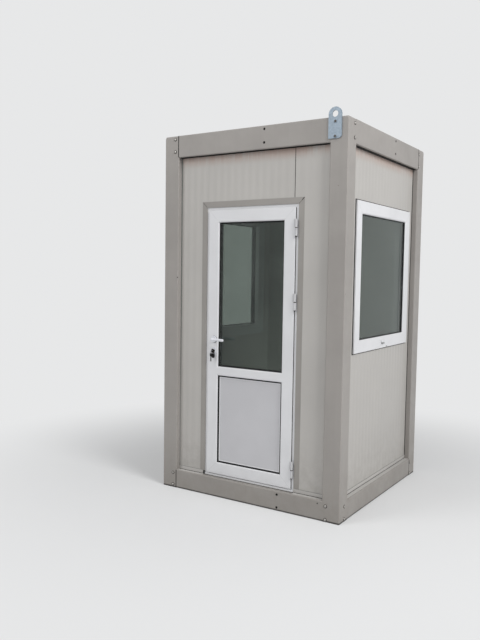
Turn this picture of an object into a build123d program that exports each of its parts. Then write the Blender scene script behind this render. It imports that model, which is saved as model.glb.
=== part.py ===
"""Security guard booth: a bolted steel frame filled with sandwich panels, with a half-glazed
door in the front wall and a fixed window in each side wall.

Millimetres. The origin is the centre of the footprint on the ground, +Z is up, the door faces -Y
and +X is to the right of someone who looks at the door.
"""

import os

from build123d import *

# Booth as a whole
booth_width = 1500.0
booth_depth = 1500.0
booth_height = 2680.0

# Folded steel of the frame
steel_thickness = 3.0
bend_radius = 6.0
smallest_rounding = 0.5
post_face = 128.0
post_cap_height = 12.0
post_cap_corner_radius = 12.0
post_cap_rounding = 9.0
roof_beam_height = 160.0
roof_beam_top_flange = 60.0
roof_beam_bearing_flange = 120.0
floor_beam_height = 140.0
floor_beam_flange = 60.0

# Holes in the beams that bolt one booth to the next, in upright pairs
coupling_hole_radius = 7.0
coupling_hole_spacing = 92.0
coupling_hole_edge_gap = 24.0
front_roof_coupling_x = 121.0
front_floor_coupling_x = 271.0
side_roof_coupling_y = 102.0

# Sandwich panels
panel_thickness = 60.0
panel_recess = 42.0
panel_joint_x = 348.0
roof_panel_thickness = 80.0
roof_panel_clearance = 2.0
roof_rib_pitch = 250.0
roof_rib_height = 24.0
roof_rib_foot = 70.0
roof_rib_crown = 30.0
roof_rib_count = 5

# Angle along the foot of the wall panels
base_channel_sheet = 1.5
base_channel_ledge = 34.0
base_channel_upstand = 28.0
base_channel_door_gap = 6.0

# Profile shared by the door leaf and the windows
sash_face_width = 88.0
sash_bevel = 6.0
glazing_recess = 16.0
glazing_thickness = 24.0
glazing_pocket = 12.0

# Door frame and its flashing
door_frame_width = 762.0
door_frame_height = 2000.0
door_frame_setback = 4.0
door_frame_proud_inside = 10.0
door_frame_lip = 22.0
door_leaf_overlap = 10.0
door_stop_reach = 20.0
door_stop_depth = 15.0
flashing_width = 43.0
flashing_sheet = 2.0

# Door leaf
leaf_flange_thickness = 7.0
leaf_body_depth = 51.0
leaf_running_gap = 5.0
leaf_edge_gap = 10.0
leaf_rounding = 2.5
lower_panel_height = 655.0
mid_rail_height = 66.0

# Door hinges
hinge_barrel_radius = 8.0
hinge_knuckle_height = 56.0
hinge_knuckle_gap = 2.0
hinge_pin_radius = 4.0
hinge_pin_clearance = 0.3
hinge_pin_length = 40.0
hinge_axis_beyond_leaf = 11.0
hinge_axis_proud = 6.0
hinge_plate_thickness = 3.0
hinge_leaf_plate_width = 6.0
hinge_web_thickness = 8.0
hinge_web_clearance = 6.0
hinge_end_offset = 139.0
hinge_upper_spacing = 508.0

# Door handle and lock
handle_backset = 55.0
handle_height = 1173.0
rosette_radius = 25.0
rosette_thickness = 8.0
lever_neck_radius = 9.0
lever_standoff = 44.0
lever_length = 120.0
lever_bar_height = 20.0
lever_bar_thickness = 12.0
lever_rounding = 4.0
lever_running_clearance = 0.3
spindle_radius = 4.0
spindle_bore_radius = 6.0
cylinder_drop = 85.0
cylinder_radius = 8.5
cylinder_fin_width = 10.0
cylinder_fin_drop = 19.0
cylinder_proud = 4.0
cylinder_clearance = 0.2
escutcheon_width = 33.0
escutcheon_height = 62.0
escutcheon_corner_radius = 15.5
escutcheon_thickness = 3.0

# Windows
window_width = 1050.0
window_height = 1050.0
window_sill_height = 1120.0
window_offset_y = 15.0
window_frame_proud = 15.0
window_frame_depth = 85.0

# Lifting lugs
lug_width = 94.0
lug_thickness = 8.0
lug_below_roof = 139.0
lug_above_roof = 62.0
lug_hole_radius = 21.0
lug_hole_below_top = 44.0
lug_from_corner = 93.0
lug_corner_chamfer = 14.0

# Planes and edges that follow from the sizes above
half_width = booth_width / 2
half_depth = booth_depth / 2
wall_outer_x = half_width - panel_recess
wall_outer_y = half_depth - panel_recess
wall_inner_y = wall_outer_y - panel_thickness
bay_half_width = half_width - post_face
bay_half_depth = half_depth - post_face
wall_foot = floor_beam_height
wall_head = booth_height - roof_beam_height

door_half_width = door_frame_width / 2
door_foot = wall_foot
door_head = door_foot + door_frame_height
door_face_y = -wall_outer_y + door_frame_setback
leaf_half_width = door_half_width - door_frame_lip
leaf_foot = door_foot + door_frame_lip
leaf_head = door_head - door_frame_lip
leaf_back_y = door_face_y - leaf_running_gap
leaf_face_y = leaf_back_y - leaf_flange_thickness
leaf_inner_y = leaf_back_y + leaf_body_depth
opening_half_width = leaf_half_width - sash_face_width
opening_foot = leaf_foot + sash_face_width
mid_rail_foot = opening_foot + lower_panel_height
mid_rail_head = mid_rail_foot + mid_rail_height
opening_head = leaf_head - sash_face_width
glass_outer_y = leaf_face_y + glazing_recess

hinge_x = leaf_half_width + hinge_axis_beyond_leaf
hinge_y = leaf_face_y - hinge_axis_proud
hinge_centres = [
    leaf_head - hinge_end_offset,
    leaf_head - hinge_end_offset - hinge_upper_spacing,
    leaf_foot + hinge_end_offset,
]

handle_x = -leaf_half_width + handle_backset
cylinder_height = handle_height - cylinder_drop

os.makedirs("parts", exist_ok=True)


def keep(piece, name):
    """Label a finished piece and write its STEP file."""
    piece.part.label = name
    export_step(piece.part, f"parts/{name}.step")


# Corner posts
# Each post is one folded sheet: two outer faces, and a return from each back to the panels.
# The section is given from the booth's corner inwards, along the two walls.
post_section = [
    (0, 0),
    (post_face, 0),
    (post_face, panel_recess),
    (post_face - steel_thickness, panel_recess),
    (post_face - steel_thickness, steel_thickness),
    (steel_thickness, steel_thickness),
    (steel_thickness, post_face - steel_thickness),
    (panel_recess, post_face - steel_thickness),
    (panel_recess, post_face),
    (0, post_face),
]
inner_bend_radius = max(bend_radius - steel_thickness, smallest_rounding)
cap_rounding = min(post_cap_rounding, post_cap_corner_radius - smallest_rounding, post_cap_height - smallest_rounding)
post_radii = [
    bend_radius,
    bend_radius,
    0,
    0,
    inner_bend_radius,
    inner_bend_radius,
    inner_bend_radius,
    0,
    0,
    bend_radius,
]
corners = {
    "front_left": (-1, -1),
    "front_right": (1, -1),
    "back_left": (-1, 1),
    "back_right": (1, 1),
}
for corner_name, (side_x, side_y) in corners.items():
    section = [(side_x * (half_width - u), side_y * (half_depth - v)) for u, v in post_section]
    cap_outline = [
        (side_x * half_width, side_y * half_depth),
        (side_x * bay_half_width, side_y * half_depth),
        (side_x * bay_half_width, side_y * bay_half_depth),
        (side_x * half_width, side_y * bay_half_depth),
    ]
    with BuildPart() as post:
        with BuildSketch():
            with BuildLine():
                FilletPolyline(*section, radius=post_radii, close=True)
            make_face()
        extrude(amount=booth_height - post_cap_height)
        with BuildSketch(Plane.XY.offset(booth_height - post_cap_height)):
            with BuildLine():
                FilletPolyline(*cap_outline, radius=[post_cap_corner_radius, 0, 0, 0], close=True)
            make_face()
        extrude(amount=post_cap_height)
        top_edges = post.faces().sort_by(Axis.Z)[-1].edges()
        outer_x_edge = top_edges.sort_by(Axis.X)[-1 if side_x > 0 else 0]
        outer_y_edge = top_edges.sort_by(Axis.Y)[-1 if side_y > 0 else 0]
        corner_arc = top_edges.filter_by(GeomType.CIRCLE)
        fillet([outer_x_edge, outer_y_edge] + corner_arc, radius=cap_rounding)
    keep(post, f"post_{corner_name}")

# Ring beams
# The beam sections are drawn for the front, from its outer face (u = 0) inwards, and upwards.
roof_beam_section = [
    (0, wall_head),
    (roof_beam_bearing_flange, wall_head),
    (roof_beam_bearing_flange, wall_head + steel_thickness),
    (steel_thickness, wall_head + steel_thickness),
    (steel_thickness, booth_height - steel_thickness),
    (roof_beam_top_flange, booth_height - steel_thickness),
    (roof_beam_top_flange, booth_height),
    (0, booth_height),
]
floor_beam_section = [
    (0, 0),
    (floor_beam_flange, 0),
    (floor_beam_flange, steel_thickness),
    (steel_thickness, steel_thickness),
    (steel_thickness, floor_beam_height - steel_thickness),
    (floor_beam_flange, floor_beam_height - steel_thickness),
    (floor_beam_flange, floor_beam_height),
    (0, floor_beam_height),
]
beam_radii = [bend_radius, 0, 0, inner_bend_radius, inner_bend_radius, 0, 0, bend_radius]
roof_hole_centre = wall_head + roof_beam_height - coupling_hole_edge_gap - coupling_hole_spacing / 2
floor_hole_centre = floor_beam_height - coupling_hole_edge_gap - coupling_hole_spacing / 2

beams = []
for wall_name, side in (("front", -1), ("back", 1)):
    across = Plane(origin=(-bay_half_width, side * half_depth, 0), x_dir=(0, -side, 0), z_dir=(-side, 0, 0))
    outward = Plane(origin=(0, side * half_depth, 0), x_dir=(1, 0, 0), z_dir=(0, side, 0))
    run = 2 * bay_half_width
    beams.append((f"roof_beam_{wall_name}", roof_beam_section, across, -side * run, outward,
                  front_roof_coupling_x, roof_hole_centre))
    beams.append((f"floor_beam_{wall_name}", floor_beam_section, across, -side * run, outward,
                  front_floor_coupling_x, floor_hole_centre))
for wall_name, side in (("left", -1), ("right", 1)):
    across = Plane(origin=(side * half_width, -bay_half_depth, 0), x_dir=(-side, 0, 0), z_dir=(0, side, 0))
    outward = Plane(origin=(side * half_width, 0, 0), x_dir=(0, 1, 0), z_dir=(side, 0, 0))
    run = 2 * bay_half_depth
    beams.append((f"roof_beam_{wall_name}", roof_beam_section, across, side * run, outward,
                  side_roof_coupling_y, roof_hole_centre))
    beams.append((f"floor_beam_{wall_name}", floor_beam_section, across, side * run, outward, None, None))

for beam_name, beam_section, across, length, outward, hole_along, hole_height in beams:
    with BuildPart() as beam:
        with BuildSketch(across):
            with BuildLine():
                FilletPolyline(*beam_section, radius=beam_radii, close=True)
            make_face()
        extrude(amount=length)
        if hole_along is not None:
            upward = 1 if outward.y_dir.Z > 0 else -1
            with BuildSketch(outward):
                with Locations((hole_along, upward * hole_height)):
                    with GridLocations(0, coupling_hole_spacing, 1, 2):
                        Circle(coupling_hole_radius)
            extrude(amount=-steel_thickness, mode=Mode.SUBTRACT)
    keep(beam, beam_name)

# Roof panel with its raised ribs, laid on the bearing flanges
roof_half_width = half_width - roof_beam_top_flange - roof_panel_clearance
roof_half_depth = half_depth - roof_beam_top_flange - roof_panel_clearance
roof_underside = wall_head + steel_thickness
roof_deck = roof_underside + roof_panel_thickness
with BuildPart() as roof_panel:
    with BuildSketch(Plane.XY.offset(roof_underside)):
        Rectangle(2 * roof_half_width, 2 * roof_half_depth)
    extrude(amount=roof_panel_thickness)
    with BuildSketch(Plane.XZ.offset(-roof_half_depth)):
        for index in range(roof_rib_count):
            rib_x = (index - (roof_rib_count - 1) / 2) * roof_rib_pitch
            with BuildLine():
                Polyline(
                    (rib_x - roof_rib_foot / 2, roof_deck),
                    (rib_x + roof_rib_foot / 2, roof_deck),
                    (rib_x + roof_rib_crown / 2, roof_deck + roof_rib_height),
                    (rib_x - roof_rib_crown / 2, roof_deck + roof_rib_height),
                    close=True,
                )
            make_face()
    extrude(amount=2 * roof_half_depth)
keep(roof_panel, "roof_panel")

# Floor panel, held between the flanges of the floor beams
with BuildPart() as floor_panel:
    with BuildSketch():
        Rectangle(2 * (half_width - floor_beam_flange), 2 * (half_depth - floor_beam_flange))
    extrude(amount=floor_beam_height)
keep(floor_panel, "floor_panel")


def slab(low, high):
    """A box between two opposite corners, as a builder."""
    with BuildPart() as piece:
        with BuildSketch(Plane.XY.offset(low[2])):
            with Locations(((low[0] + high[0]) / 2, (low[1] + high[1]) / 2)):
                Rectangle(high[0] - low[0], high[1] - low[1])
        extrude(amount=high[2] - low[2])
    return piece


# Front wall: beside and over the door
front_wall_left = slab(
    (-wall_outer_x, -wall_outer_y, wall_foot), (-door_half_width, -wall_inner_y, wall_head)
)
keep(front_wall_left, "front_wall_left")
front_wall_over_door = slab(
    (-door_half_width, -wall_outer_y, door_head), (panel_joint_x, -wall_inner_y, wall_head)
)
keep(front_wall_over_door, "front_wall_over_door")
with BuildPart() as front_wall_right:
    with BuildSketch(Plane.XZ.offset(wall_inner_y)):
        with BuildLine():
            Polyline(
                (door_half_width, wall_foot),
                (wall_outer_x, wall_foot),
                (wall_outer_x, wall_head),
                (panel_joint_x, wall_head),
                (panel_joint_x, door_head),
                (door_half_width, door_head),
                close=True,
            )
        make_face()
    extrude(amount=panel_thickness)
keep(front_wall_right, "front_wall_right")

# Back wall: one wide panel and one narrow panel
back_wall_wide = slab((-wall_outer_x, wall_inner_y, wall_foot), (panel_joint_x, wall_outer_y, wall_head))
keep(back_wall_wide, "back_wall_wide")
back_wall_narrow = slab((panel_joint_x, wall_inner_y, wall_foot), (wall_outer_x, wall_outer_y, wall_head))
keep(back_wall_narrow, "back_wall_narrow")

# Side walls, windows and their glass
window_centre_z = window_sill_height + window_height / 2
window_opening_width = window_width - 2 * sash_face_width
window_opening_height = window_height - 2 * sash_face_width
for wall_name, side in (("left", -1), ("right", 1)):
    wall_plane = Plane(origin=(side * wall_outer_x, 0, 0), x_dir=(0, side, 0), z_dir=(side, 0, 0))
    face_plane = wall_plane.offset(window_frame_proud)
    window_place = (side * window_offset_y, window_centre_z)
    with BuildPart() as side_wall:
        with BuildSketch(wall_plane):
            with Locations((0, (wall_foot + wall_head) / 2)):
                Rectangle(2 * wall_inner_y, wall_head - wall_foot)
            with Locations(window_place):
                Rectangle(window_width, window_height, mode=Mode.SUBTRACT)
        extrude(amount=-panel_thickness)
    keep(side_wall, f"{wall_name}_wall")

    with BuildPart() as window_frame:
        with BuildSketch(face_plane):
            with Locations(window_place):
                Rectangle(window_width, window_height)
        extrude(amount=-window_frame_depth)
        fillet(window_frame.faces().sort_by(Axis.X)[-1 if side > 0 else 0].edges(), radius=leaf_rounding)
        with BuildSketch(face_plane):
            with Locations(window_place):
                Rectangle(window_opening_width, window_opening_height)
        extrude(amount=-window_frame_depth, mode=Mode.SUBTRACT)
        with BuildSketch(face_plane.offset(-glazing_recess)):
            with Locations(window_place):
                Rectangle(window_opening_width + 2 * glazing_pocket, window_opening_height + 2 * glazing_pocket)
        extrude(amount=-glazing_thickness, mode=Mode.SUBTRACT)
        opening_edges = window_frame.faces().sort_by(Axis.X)[-1 if side > 0 else 0].inner_wires()[0].edges()
        chamfer(opening_edges, length=sash_bevel)
    keep(window_frame, f"{wall_name}_window_frame")

    with BuildPart() as window_glass:
        with BuildSketch(face_plane.offset(-glazing_recess)):
            with Locations(window_place):
                Rectangle(window_opening_width + 2 * glazing_pocket, window_opening_height + 2 * glazing_pocket)
        extrude(amount=-glazing_thickness)
    keep(window_glass, f"{wall_name}_window_glass")

# Base channels: an angle that stands on the floor beam and laps the foot of the panels
channel_section = [
    (0, 0),
    (base_channel_ledge, 0),
    (base_channel_ledge, base_channel_upstand),
    (base_channel_ledge - base_channel_sheet, base_channel_upstand),
    (base_channel_ledge - base_channel_sheet, base_channel_sheet),
    (0, base_channel_sheet),
]
front_channel_end = door_half_width + base_channel_door_gap
with BuildPart() as base_channel_front:
    front_foot = -wall_outer_y - base_channel_ledge
    for start_x in (-bay_half_width, front_channel_end):
        with BuildSketch(Plane(origin=(start_x, front_foot, wall_foot), x_dir=(0, 1, 0), z_dir=(1, 0, 0))):
            with BuildLine():
                Polyline(*channel_section, close=True)
            make_face()
        extrude(amount=bay_half_width - front_channel_end)
keep(base_channel_front, "base_channel_front")
with BuildPart() as base_channel_back:
    back_foot = wall_outer_y + base_channel_ledge
    with BuildSketch(Plane(origin=(bay_half_width, back_foot, wall_foot), x_dir=(0, -1, 0), z_dir=(-1, 0, 0))):
        with BuildLine():
            Polyline(*channel_section, close=True)
        make_face()
    extrude(amount=2 * bay_half_width)
keep(base_channel_back, "base_channel_back")
for wall_name, side in (("left", -1), ("right", 1)):
    side_foot = side * (wall_outer_x + base_channel_ledge)
    start_y = side * bay_half_depth
    with BuildPart() as base_channel_side:
        foot_plane = Plane(origin=(side_foot, -start_y, wall_foot), x_dir=(-side, 0, 0), z_dir=(0, side, 0))
        with BuildSketch(foot_plane):
            with BuildLine():
                Polyline(*channel_section, close=True)
            make_face()
        extrude(amount=2 * bay_half_depth)
    keep(base_channel_side, f"base_channel_{wall_name}")

# Door frame: an outer ring with a lip in front and a stop at the back
frame_depth = panel_thickness - door_frame_setback + door_frame_proud_inside
frame_middle_z = (door_foot + door_head) / 2
lip_reach = door_frame_lip + door_leaf_overlap
stop_reach = lip_reach + door_stop_reach
front_plane = Plane(origin=(0, door_face_y, 0), x_dir=(1, 0, 0), z_dir=(0, -1, 0))
with BuildPart() as door_frame:
    with BuildSketch(front_plane):
        with Locations((0, frame_middle_z)):
            Rectangle(door_frame_width, door_frame_height)
    extrude(amount=-frame_depth)
    with BuildSketch(front_plane):
        with Locations((0, frame_middle_z)):
            Rectangle(door_frame_width - 2 * lip_reach, door_frame_height - 2 * lip_reach)
    extrude(amount=-(frame_depth - door_stop_depth), mode=Mode.SUBTRACT)
    with BuildSketch(front_plane):
        with Locations((0, frame_middle_z)):
            Rectangle(door_frame_width - 2 * stop_reach, door_frame_height - 2 * stop_reach)
    extrude(amount=-frame_depth, mode=Mode.SUBTRACT)
    fillet(door_frame.faces().sort_by(Axis.Y)[0].outer_wire().edges(), radius=leaf_rounding)
keep(door_frame, "door_frame")

# Flashing: three flat strips with mitred corners, on the panels around the door frame. The upright
# ones stand on the base channel.
flashing_half_width = door_half_width + flashing_width
flashing_foot = wall_foot + base_channel_upstand
with BuildPart() as door_flashing:
    with BuildSketch(Plane.XZ.offset(wall_outer_y)):
        with BuildLine():
            Polyline(
                (-flashing_half_width, flashing_foot),
                (-door_half_width, flashing_foot),
                (-door_half_width, door_head),
                (door_half_width, door_head),
                (door_half_width, flashing_foot),
                (flashing_half_width, flashing_foot),
                (flashing_half_width, door_head + flashing_width),
                (-flashing_half_width, door_head + flashing_width),
                close=True,
            )
        make_face()
    extrude(amount=flashing_sheet)
keep(door_flashing, "door_flashing")

# Door leaf frame: a flange that laps the door frame, on a body that enters it
leaf_plane = Plane(origin=(0, leaf_face_y, 0), x_dir=(1, 0, 0), z_dir=(0, -1, 0))
leaf_middle_z = (leaf_foot + leaf_head) / 2
leaf_height = leaf_head - leaf_foot
leaf_depth = leaf_inner_y - leaf_face_y
body_inset = door_leaf_overlap + leaf_edge_gap
opening_width = 2 * opening_half_width
opening_middle_z = (opening_foot + opening_head) / 2
opening_height = opening_head - opening_foot


def cylinder_profile(clearance, mode=Mode.ADD):
    """Outline of the lock cylinder: a round head with a fin below it."""
    Circle(cylinder_radius + clearance, mode=mode)
    with Locations((0, -cylinder_fin_drop / 2)):
        Rectangle(cylinder_fin_width + 2 * clearance, cylinder_fin_drop + 2 * clearance, mode=mode)


lock_plane = Plane(origin=(handle_x, leaf_face_y, cylinder_height), x_dir=(1, 0, 0), z_dir=(0, -1, 0))
handle_plane = Plane(origin=(handle_x, leaf_face_y, handle_height), x_dir=(1, 0, 0), z_dir=(0, -1, 0))

with BuildPart() as door_leaf_frame:
    with BuildSketch(leaf_plane):
        with Locations((0, leaf_middle_z)):
            Rectangle(2 * leaf_half_width, leaf_height)
    extrude(amount=-leaf_flange_thickness)
    with BuildSketch(leaf_plane.offset(-leaf_flange_thickness)):
        with Locations((0, leaf_middle_z)):
            Rectangle(2 * (leaf_half_width - body_inset), leaf_height - 2 * body_inset)
    extrude(amount=-leaf_body_depth)
    fillet(door_leaf_frame.faces().sort_by(Axis.Y)[0].edges(), radius=leaf_rounding)
    with BuildSketch(leaf_plane):
        with Locations((0, opening_middle_z)):
            Rectangle(opening_width, opening_height)
    extrude(amount=-leaf_depth, mode=Mode.SUBTRACT)
    with BuildSketch(leaf_plane.offset(-glazing_recess)):
        with Locations((0, opening_middle_z)):
            Rectangle(opening_width + 2 * glazing_pocket, opening_height + 2 * glazing_pocket)
    extrude(amount=-glazing_thickness, mode=Mode.SUBTRACT)
    chamfer(door_leaf_frame.faces().sort_by(Axis.Y)[0].inner_wires()[0].edges(), length=sash_bevel)
    with BuildSketch(handle_plane):
        Circle(spindle_bore_radius)
    extrude(amount=-leaf_depth, mode=Mode.SUBTRACT)
    with BuildSketch(lock_plane):
        cylinder_profile(cylinder_clearance)
    extrude(amount=-leaf_depth, mode=Mode.SUBTRACT)
keep(door_leaf_frame, "door_leaf_frame")

# Middle rail of the leaf, between the glass and the lower panel. Its ends widen at the face to lie
# on the bevels of the leaf, and its own two bevels meet them in a mitre.
with BuildPart() as door_mid_rail:
    with BuildSketch(Plane.XY.offset(mid_rail_foot)):
        with BuildLine():
            Polyline(
                (-opening_half_width - sash_bevel, leaf_face_y),
                (opening_half_width + sash_bevel, leaf_face_y),
                (opening_half_width, leaf_face_y + sash_bevel),
                (opening_half_width, leaf_inner_y),
                (-opening_half_width, leaf_inner_y),
                (-opening_half_width, leaf_face_y + sash_bevel),
                close=True,
            )
        make_face()
    extrude(amount=mid_rail_height)
    chamfer(door_mid_rail.faces().sort_by(Axis.Y)[0].edges().filter_by(Axis.X), length=sash_bevel)
    for pocket_z in (mid_rail_foot, mid_rail_head):
        with BuildSketch(leaf_plane.offset(-glazing_recess)):
            with Locations((0, pocket_z)):
                Rectangle(opening_width, 2 * glazing_pocket)
        extrude(amount=-glazing_thickness, mode=Mode.SUBTRACT)
keep(door_mid_rail, "door_mid_rail")

# Glass above and flat panel below, each held in the pockets of the leaf
infill_half_width = opening_half_width + glazing_pocket
infills = (
    ("door_glass", mid_rail_head - glazing_pocket, opening_head + glazing_pocket),
    ("door_lower_panel", opening_foot - glazing_pocket, mid_rail_foot + glazing_pocket),
)
for infill_name, infill_foot, infill_head in infills:
    infill = slab(
        (-infill_half_width, glass_outer_y, infill_foot),
        (infill_half_width, glass_outer_y + glazing_thickness, infill_head),
    )
    keep(infill, infill_name)

# Hinges: the upper knuckle and its plate ride on the leaf, the lower knuckle carries the pin
leaf_knuckle_foot = hinge_knuckle_gap / 2
frame_knuckle_foot = -hinge_knuckle_gap / 2 - hinge_knuckle_height
web_half = hinge_web_thickness / 2
web_centre_x = leaf_half_width + hinge_web_clearance + web_half
with BuildPart() as door_hinges_leaf_side:
    for centre_z in hinge_centres:
        knuckle_plane = Plane.XY.offset(centre_z + leaf_knuckle_foot)
        with BuildSketch(knuckle_plane):
            with Locations((hinge_x, hinge_y)):
                Circle(hinge_barrel_radius)
            plate_left = leaf_half_width - leaf_rounding - hinge_leaf_plate_width
            plate_right = leaf_half_width + hinge_axis_beyond_leaf
            with Locations(((plate_left + plate_right) / 2, leaf_face_y - hinge_plate_thickness / 2)):
                Rectangle(plate_right - plate_left, hinge_plate_thickness)
            with Locations((hinge_x, hinge_y)):
                Circle(hinge_pin_radius + hinge_pin_clearance, mode=Mode.SUBTRACT)
        extrude(amount=hinge_knuckle_height)
keep(door_hinges_leaf_side, "door_hinges_leaf_side")

with BuildPart() as door_hinges_frame_side:
    for centre_z in hinge_centres:
        with BuildSketch(Plane.XY.offset(centre_z + frame_knuckle_foot)):
            with Locations((hinge_x, hinge_y)):
                Circle(hinge_barrel_radius)
            web_depth = door_face_y - hinge_y
            with Locations((web_centre_x, hinge_y + web_depth / 2)):
                Rectangle(hinge_web_thickness, web_depth)
        extrude(amount=hinge_knuckle_height)
        with BuildSketch(Plane.XY.offset(centre_z - hinge_knuckle_gap)):
            with Locations((hinge_x, hinge_y)):
                Circle(hinge_pin_radius)
        extrude(amount=hinge_pin_length + hinge_knuckle_gap)
keep(door_hinges_frame_side, "door_hinges_frame_side")

# Rosettes of the handle and escutcheons of the lock, on both faces of the leaf
inner_handle_plane = Plane(origin=(handle_x, leaf_inner_y, handle_height), x_dir=(1, 0, 0), z_dir=(0, -1, 0))
inner_lock_plane = Plane(origin=(handle_x, leaf_inner_y, cylinder_height), x_dir=(1, 0, 0), z_dir=(0, -1, 0))
neck_bore_radius = lever_neck_radius + lever_running_clearance
escutcheon_rounding = min(escutcheon_corner_radius, escutcheon_width / 2 - smallest_rounding)
with BuildPart() as handle_rosettes:
    for plane, outward in ((handle_plane, 1), (inner_handle_plane, -1)):
        with BuildSketch(plane):
            Circle(rosette_radius)
            Circle(neck_bore_radius, mode=Mode.SUBTRACT)
        extrude(amount=outward * rosette_thickness)
    for plane, outward in ((lock_plane, 1), (inner_lock_plane, -1)):
        with BuildSketch(plane):
            with Locations((0, -cylinder_fin_drop / 2 + cylinder_radius / 2)):
                RectangleRounded(escutcheon_width, escutcheon_height, escutcheon_rounding)
            cylinder_profile(cylinder_clearance, Mode.SUBTRACT)
        extrude(amount=outward * escutcheon_thickness)
keep(handle_rosettes, "handle_rosettes")

# Lock cylinder, through the leaf
with BuildPart() as lock_cylinder:
    with BuildSketch(lock_plane.offset(cylinder_proud)):
        cylinder_profile(0)
    extrude(amount=-(leaf_depth + 2 * cylinder_proud))
keep(lock_cylinder, "lock_cylinder")

# Levers: a neck in the rosette, a bar towards the hinges, and the spindle on the outer one
lever_bar_centre_x = lever_length / 2 - lever_bar_height / 2
levers = (
    ("lever_outside", handle_plane, 1),
    ("lever_inside", inner_handle_plane, -1),
)
for lever_name, plane, outward in levers:
    with BuildPart() as lever:
        with BuildSketch(plane):
            Circle(lever_neck_radius)
        extrude(amount=outward * (lever_standoff + lever_bar_thickness / 2))
        with BuildSketch(plane.offset(outward * lever_standoff)):
            with Locations((lever_bar_centre_x, 0)):
                SlotOverall(lever_length, lever_bar_height)
        extrude(amount=outward * lever_bar_thickness)
        outer_face = lever.faces().sort_by(Axis.Y)[0 if outward > 0 else -1]
        fillet(outer_face.edges(), radius=lever_rounding)
        if outward > 0:
            with BuildSketch(plane):
                Circle(spindle_radius)
            extrude(amount=-leaf_depth)
    keep(lever, lever_name)

# Lifting lugs: a plate bolted to a post, with a round head and a hole above the roof
lug_half = lug_width / 2
lug_foot = booth_height - lug_below_roof
lug_top = booth_height + lug_above_roof
lug_shoulder = lug_top - lug_half
for lug_name, side in (("front", -1), ("back", 1)):
    lug_plane = Plane(
        origin=(-side * (half_width - lug_from_corner), side * half_depth, 0),
        x_dir=(-side, 0, 0),
        z_dir=(0, side, 0),
    )
    with BuildPart() as lug:
        with BuildSketch(lug_plane):
            with BuildLine():
                Line((-lug_half, lug_shoulder), (-lug_half, lug_foot))
                Line((-lug_half, lug_foot), (lug_half - lug_corner_chamfer, lug_foot))
                Line((lug_half - lug_corner_chamfer, lug_foot), (lug_half, lug_foot + lug_corner_chamfer))
                Line((lug_half, lug_foot + lug_corner_chamfer), (lug_half, lug_shoulder))
                ThreePointArc((lug_half, lug_shoulder), (0, lug_top), (-lug_half, lug_shoulder))
            make_face()
            with Locations((0, lug_top - lug_hole_below_top)):
                Circle(lug_hole_radius, mode=Mode.SUBTRACT)
        extrude(amount=lug_thickness)
    keep(lug, f"lifting_lug_{lug_name}")
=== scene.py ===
"""Looks of the security guard booth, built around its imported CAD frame.

The file is laid out as a Blender add-on and is run as a script. The sizes and colours that a user
would change are properties of the scene, and each group of pieces has an operator of its own.
Lengths are in metres. Each new piece is a surface worked out with numpy, on a grid of two
parameters or as a profile carried along a path, and lies in the frame of the CAD nodes: +Z is up,
the door faces -Y, and the origin is the middle of the footprint on the ground.
"""

import math

import bmesh
import bpy
import numpy as np
from bpy.props import FloatProperty, FloatVectorProperty, IntProperty, PointerProperty
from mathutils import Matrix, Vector


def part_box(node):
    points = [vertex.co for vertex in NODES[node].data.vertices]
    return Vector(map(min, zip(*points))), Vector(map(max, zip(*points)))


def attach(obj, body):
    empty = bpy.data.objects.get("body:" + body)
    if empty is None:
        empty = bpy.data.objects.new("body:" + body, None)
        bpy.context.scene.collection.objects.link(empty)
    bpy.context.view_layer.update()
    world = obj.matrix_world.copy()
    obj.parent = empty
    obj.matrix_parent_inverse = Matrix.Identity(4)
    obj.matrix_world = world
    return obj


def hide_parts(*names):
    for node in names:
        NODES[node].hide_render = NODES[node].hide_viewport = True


bl_info = {
    "name": "Guard booth looks",
    "version": (1, 0, 0),
    "blender": (4, 5, 0),
    "location": "3D View > Sidebar > Guard booth",
    "description": "Builds the panels, shade_beads, glass, fittings and finishes of a guard booth",
    "category": "Object",
}

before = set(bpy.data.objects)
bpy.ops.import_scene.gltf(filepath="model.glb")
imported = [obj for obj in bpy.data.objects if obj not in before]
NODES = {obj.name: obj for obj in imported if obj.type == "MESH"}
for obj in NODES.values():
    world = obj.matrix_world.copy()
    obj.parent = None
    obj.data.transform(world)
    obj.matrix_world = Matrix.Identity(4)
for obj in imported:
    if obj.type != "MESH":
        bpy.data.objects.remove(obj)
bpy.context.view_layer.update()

# Each side of the booth as three axes: along the wall to the right, up, and out of the wall.
SIDES = {
    "front": np.array([[1, 0, 0], [0, 0, 1], [0, -1, 0]], float),
    "right": np.array([[0, 1, 0], [0, 0, 1], [1, 0, 0]], float),
    "back": np.array([[-1, 0, 0], [0, 0, 1], [0, 1, 0]], float),
    "left": np.array([[0, -1, 0], [0, 0, 1], [-1, 0, 0]], float),
    "top": np.array([[1, 0, 0], [0, 1, 0], [0, 0, 1]], float),
}
WALLS = ("front", "right", "back", "left")

# The panel of each wall whose two faces are the planes of the wall's sheets.
WALL_PANEL = {
    "front": "front_wall_left",
    "back": "back_wall_wide",
    "left": "left_wall",
    "right": "right_wall",
}

# What gaskets hold: the side that it faces, and the body that it rides on.
INFILLS = {
    "door_glass": ("front", "door_leaf"),
    "door_lower_panel": ("front", "door_leaf"),
    "right_window_glass": ("right", "cabin"),
    "left_window_glass": ("left", "cabin"),
}

# Turn of a surface that faces out of a side into one that faces into the booth.
INWARD = np.diag([1.0, 1.0, -1.0])


def limits(node, side="front"):
    """Lowest and highest corner of a CAD node, along the three axes of a side."""
    corners = np.array([list(c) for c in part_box(node)]) @ SIDES[side].T
    return corners.min(0), corners.max(0)


def middle_and_half(node, side="front"):
    """Middle of a CAD node and half its extents, along the three axes of a side."""
    low, high = limits(node, side)
    return (low + high) / 2, (high - low) / 2


# Sizes and colours that a user would change


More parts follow.
